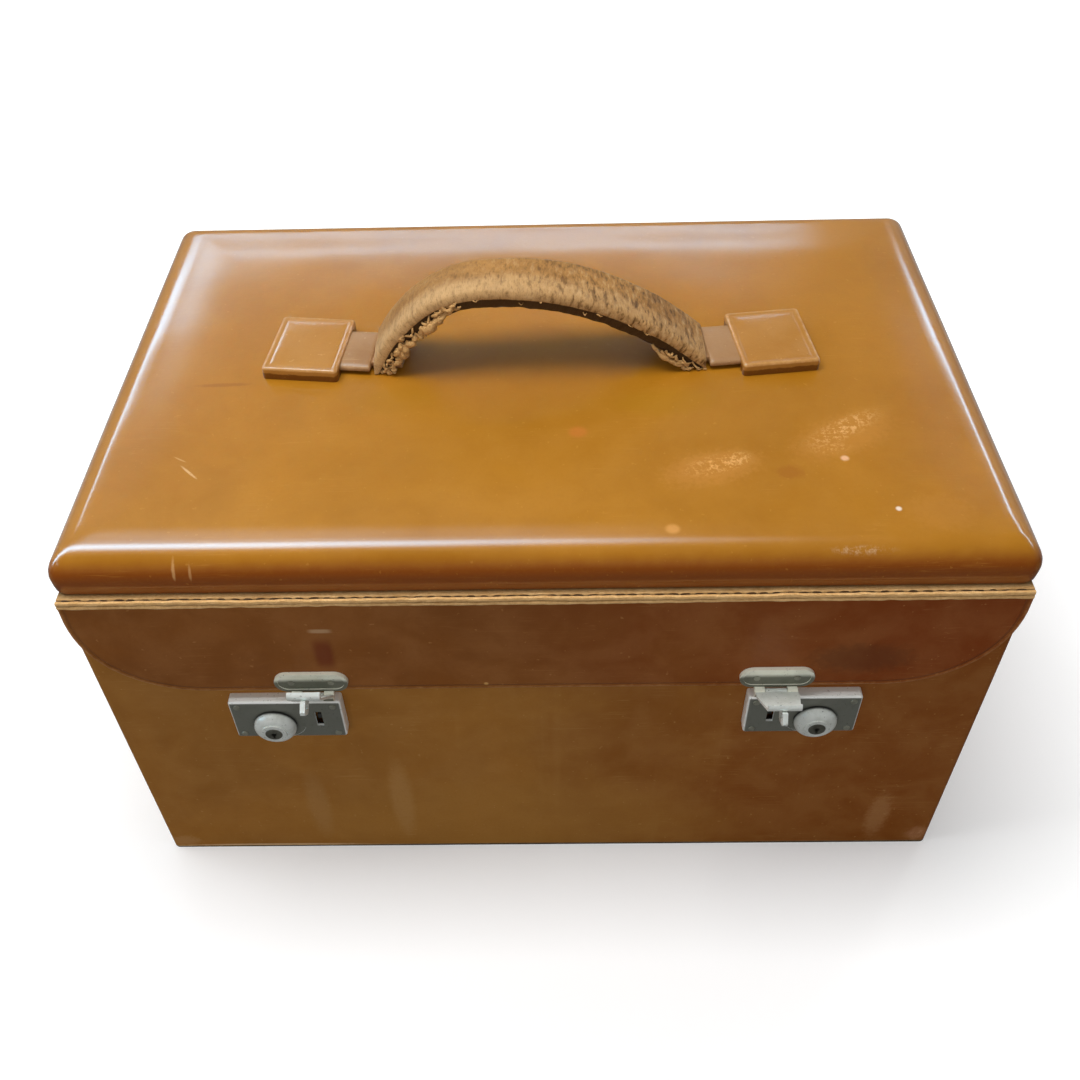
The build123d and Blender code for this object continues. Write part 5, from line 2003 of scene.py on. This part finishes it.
@dataclass
class Studio:
    """The camera, the lamps, the floor and the surroundings, with places in metres.

    Attributes:
        focal: The camera's focal length.
        camera_at: The camera's place.
        turns: Its turns in degrees and their axes: yaw, pitch and roll.
        shift: The shift of its picture.
        lamps: The lamps.
        reach: Half the floor's width.
        floor_shade: The floor's grey as the case is lit by it.
        floor_mirrored: Its grey in the case's gloss, in front and behind.
        floor_seen: Its grey as the camera sees it.
        floor_glow: Its own light under the case, and what is added away from it.
        cool: The colour of the bright bands that the lid's edges mirror.
        panel: How bright the wide panel overhead is.
        panel_ahead: The panel's middle and half depth, as the way's slope to the back.
        panel_across: Where its right end fades out, as the way's slope to the right.
        strip: How bright the narrow strips behind are.
        strip_height: How high they stand, as the upright part of the way there.
        strip_half: Half their height in the middle, and what is added towards the sides.
    """

    focal: float = 37.933
    camera_at: Place = (0.003987, -0.391686, 0.506288)
    turns: tuple[tuple[float, str], ...] = ((1.587, "Z"), (45.694, "X"), (-1.882, "Z"))
    shift: tuple[float, float] = (0.011, -0.044)
    lamps: tuple[Lamp, ...] = (
        Lamp("overhead", (-0.28, -0.03, 1.30), (0.45, 1.05), 14.0),
        Lamp("back_right", (1.06, 1.10, 0.67), (0.34, 0.50), 3.6),
        Lamp("back_left", (-0.83, 1.28, 0.67), (0.24, 0.45), 2.0),
        Lamp("front_fill", (-0.30, -1.70, 0.75), (1.60, 0.90), 7.0))
    reach: float = 6.0
    floor_shade: float = 0.34
    floor_mirrored: tuple[float, float] = (0.06, 0.45)
    floor_seen: float = 0.78
    floor_glow: tuple[float, float] = (0.225, 0.365)
    cool: Colour = (0.62, 1.06, 1.45)
    panel: float = 12.0
    panel_ahead: tuple[float, float] = (0.34, 0.42)
    panel_across: tuple[float, float] = (0.28, -0.34)
    strip: float = 17.0
    strip_height: float = 0.488
    strip_half: tuple[float, float] = (0.012, 0.024)

    def camera(self) -> None:
        """Makes the camera."""
        data = bpy.data.cameras.new("camera")
        data.sensor_width = 36.0
        data.lens = self.focal
        data.shift_x, data.shift_y = self.shift
        data.clip_start = 0.01
        made = placed("camera", data)
        matrix = Matrix.Identity(4)
        for angle, axis in self.turns:
            matrix = matrix @ Matrix.Rotation(math.radians(angle), 4, axis)
        made.matrix_world = Matrix.Translation(self.camera_at) @ matrix
        bpy.context.scene.camera = made

    @staticmethod
    def unmirrored(g: Graph, path: bpy.types.Node) -> Socket:
        """1 where the camera looks straight at something or through glass."""
        return g.most(path.outputs["Is Camera Ray"], path.outputs["Is Transmission Ray"])

    def floor(self) -> None:
        """Makes a plain pale floor that keeps the case's soft shadow."""
        material = bpy.data.materials.new("pale_floor")
        g = Graph.blank(material)
        path = g.node("LightPath")
        behind = g.step(g.axes(g.coordinates("Object"))[1], -0.10, 0.15)
        mirrored = g.mix(behind, *(grey(level) for level in self.floor_mirrored))
        tint = g.mix(path.outputs["Is Glossy Ray"], grey(self.floor_shade), mirrored)
        seen = self.unmirrored(g, path)
        tint = g.mix(seen, tint, grey(self.floor_seen))
        plain = g.node("BsdfDiffuse", {"Color": tint})
        away = g.vector("LENGTH", g.coordinates("Object"))
        under, more = self.floor_glow
        glow = g.plus(under, g.times(g.step(away, 0.18, 0.46), more))
        glow = g.node("Emission", {"Color": WHITE, "Strength": g.times(glow, seen)})
        shown = g.node("AddShader", {0: plain.outputs[0], 1: glow.outputs[0]})
        g.node("OutputMaterial", {"Surface": shown.outputs[0]})
        mesh = bpy.data.meshes.new("floor")
        signs = ((-1, -1), (1, -1), (1, 1), (-1, 1))
        mesh.from_pydata([(x * self.reach, y * self.reach, 0) for x, y in signs], [], [(0, 1, 2, 3)])
        mesh.materials.append(material)
        made = placed("floor", mesh)

    def bands(self, g: Graph, x: Socket, y: Socket, z: Socket, back: Socket) -> Socket:
        """The bright bands that the lid's polished edges mirror.

        Args:
            g: The world's graph.
            x: The way's part to the right.
            y: The way's part to the back.
            z: The way's part upward.
            back: How far the way points to the back, from 0 to 1.

        Returns:
            Their brightness.
        """
        up = g.step(z, 0.05, 0.2)
        across = g.math("DIVIDE", x, z)
        middle, half = self.panel_ahead
        ahead = g.line(g.math("DIVIDE", y, z), middle, half, 0.0)
        panel = g.times(ahead, g.step(across, *self.panel_across))
        bright = g.times(g.times(panel, up), self.panel)
        level = g.plain(g.minus(z, self.strip_height))
        side = g.math("DIVIDE", x, y)
        least, more = self.strip_half
        width = g.plus(least, g.times(g.step(g.plain(side), 0.36, 0.50), more))
        sides = g.times(g.step(side, 0.28, 0.20), g.step(side, -1.05, -0.72))
        sides = g.most(sides, g.step(side, 0.42, 0.54))
        strip = g.times(g.step(g.math("DIVIDE", level, width), 1.0, 0.0), sides)
        return g.plus(bright, g.times(g.times(strip, back), self.strip))

    def world(self) -> None:
        """Makes white surroundings that light the case softly, dimmer on the front side."""
        world = bpy.data.worlds.new("surroundings")
        g = Graph.blank(world)
        path = g.node("LightPath")
        x, y, z = g.axes(g.coordinates("Generated"))
        back = g.step(y, -0.7, 0.5)
        ambient = g.plus(0.34, g.times(back, -0.12))
        mirrored = g.plus(0.05, g.times(g.times(back, g.step(z, 0.56, 0.42)), 0.26))
        bright = self.bands(g, x, y, z, back)
        mirrored = g.plus(mirrored, bright)
        strength = g.between(path.outputs["Is Glossy Ray"], ambient, mirrored)
        clear = self.unmirrored(g, path)
        strength = g.between(clear, strength, 1.0)
        cool = g.times(path.outputs["Is Glossy Ray"], g.step(bright, 0.0, 2.0))
        cool = g.mix(cool, WHITE, (*self.cool, 1.0))
        sky = g.node("Background", {"Color": g.mix(clear, cool, WHITE), "Strength": strength})
        g.node("OutputWorld", {"Surface": sky.outputs[0]})
        bpy.context.scene.world = world

    def build(self) -> None:
        """Sets up the whole studio."""
        bpy.context.scene.view_settings.view_transform = "Standard"
        self.camera()
        self.floor()
        self.world()
        for lamp in self.lamps:
            lamp.build()
        log.info("studio: %d lamps", len(self.lamps))


# ------------------------------ solids
@dataclass
class Solids:
    """The solids that stay in view, each dressed by its slot in the record."""

    finishes: dict[str, str] = field(default_factory=lambda: {
        "wood": "wood", "tan_leather": "lid", "brown_leather": "case", "raw_leather": "base",
        "lining_cloth": "silk", "mirror_frame_leather": "frame_hide", "mirror_glass": "mirror",
        "clear_glass": "glass", "cap_metal": "cap", "nickel": "nickel", "stay_metal": "brass"})

    special: dict[str, str] = field(default_factory=lambda: {
        "lock_case": "plate", "lock_rivets": "rivet", "hasp_rivets": "rivet", "key_barrel": "barrel",
        "lock_slide": "slide", "hasp_plate": "hasp_plate"})

    def dress(self, wardrobe: Wardrobe) -> None:
        """Gives every solid its finish.

        Args:
            wardrobe: What makes the finishes.
        """
        for part in frame["record"]["subparts"]:
            solid = frame["nodes"][part["node"]]
            kind = part["node"].removesuffix("_left").removesuffix("_right")
            finish = self.special.get(kind, self.finishes[part["material_slot"]])
            solid.data.materials.clear()
            solid.data.materials.append(wardrobe.get(finish))
            log.info("%s: %s", solid.name, part["material_slot"])


def main() -> None:
    """Builds the dressed case in order."""
    logging.basicConfig(level=logging.INFO, format="%(message)s")
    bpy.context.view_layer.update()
    Studio().build()
    wardrobe = Wardrobe(Effects(), Palette())
    Solids().dress(wardrobe)
    for piece in (LidCover(), Welt(), Flap(), *(HandleEnd(side) for side in Side), Grip()):
        piece.build(wardrobe)


if __name__ == "__main__":
    main()
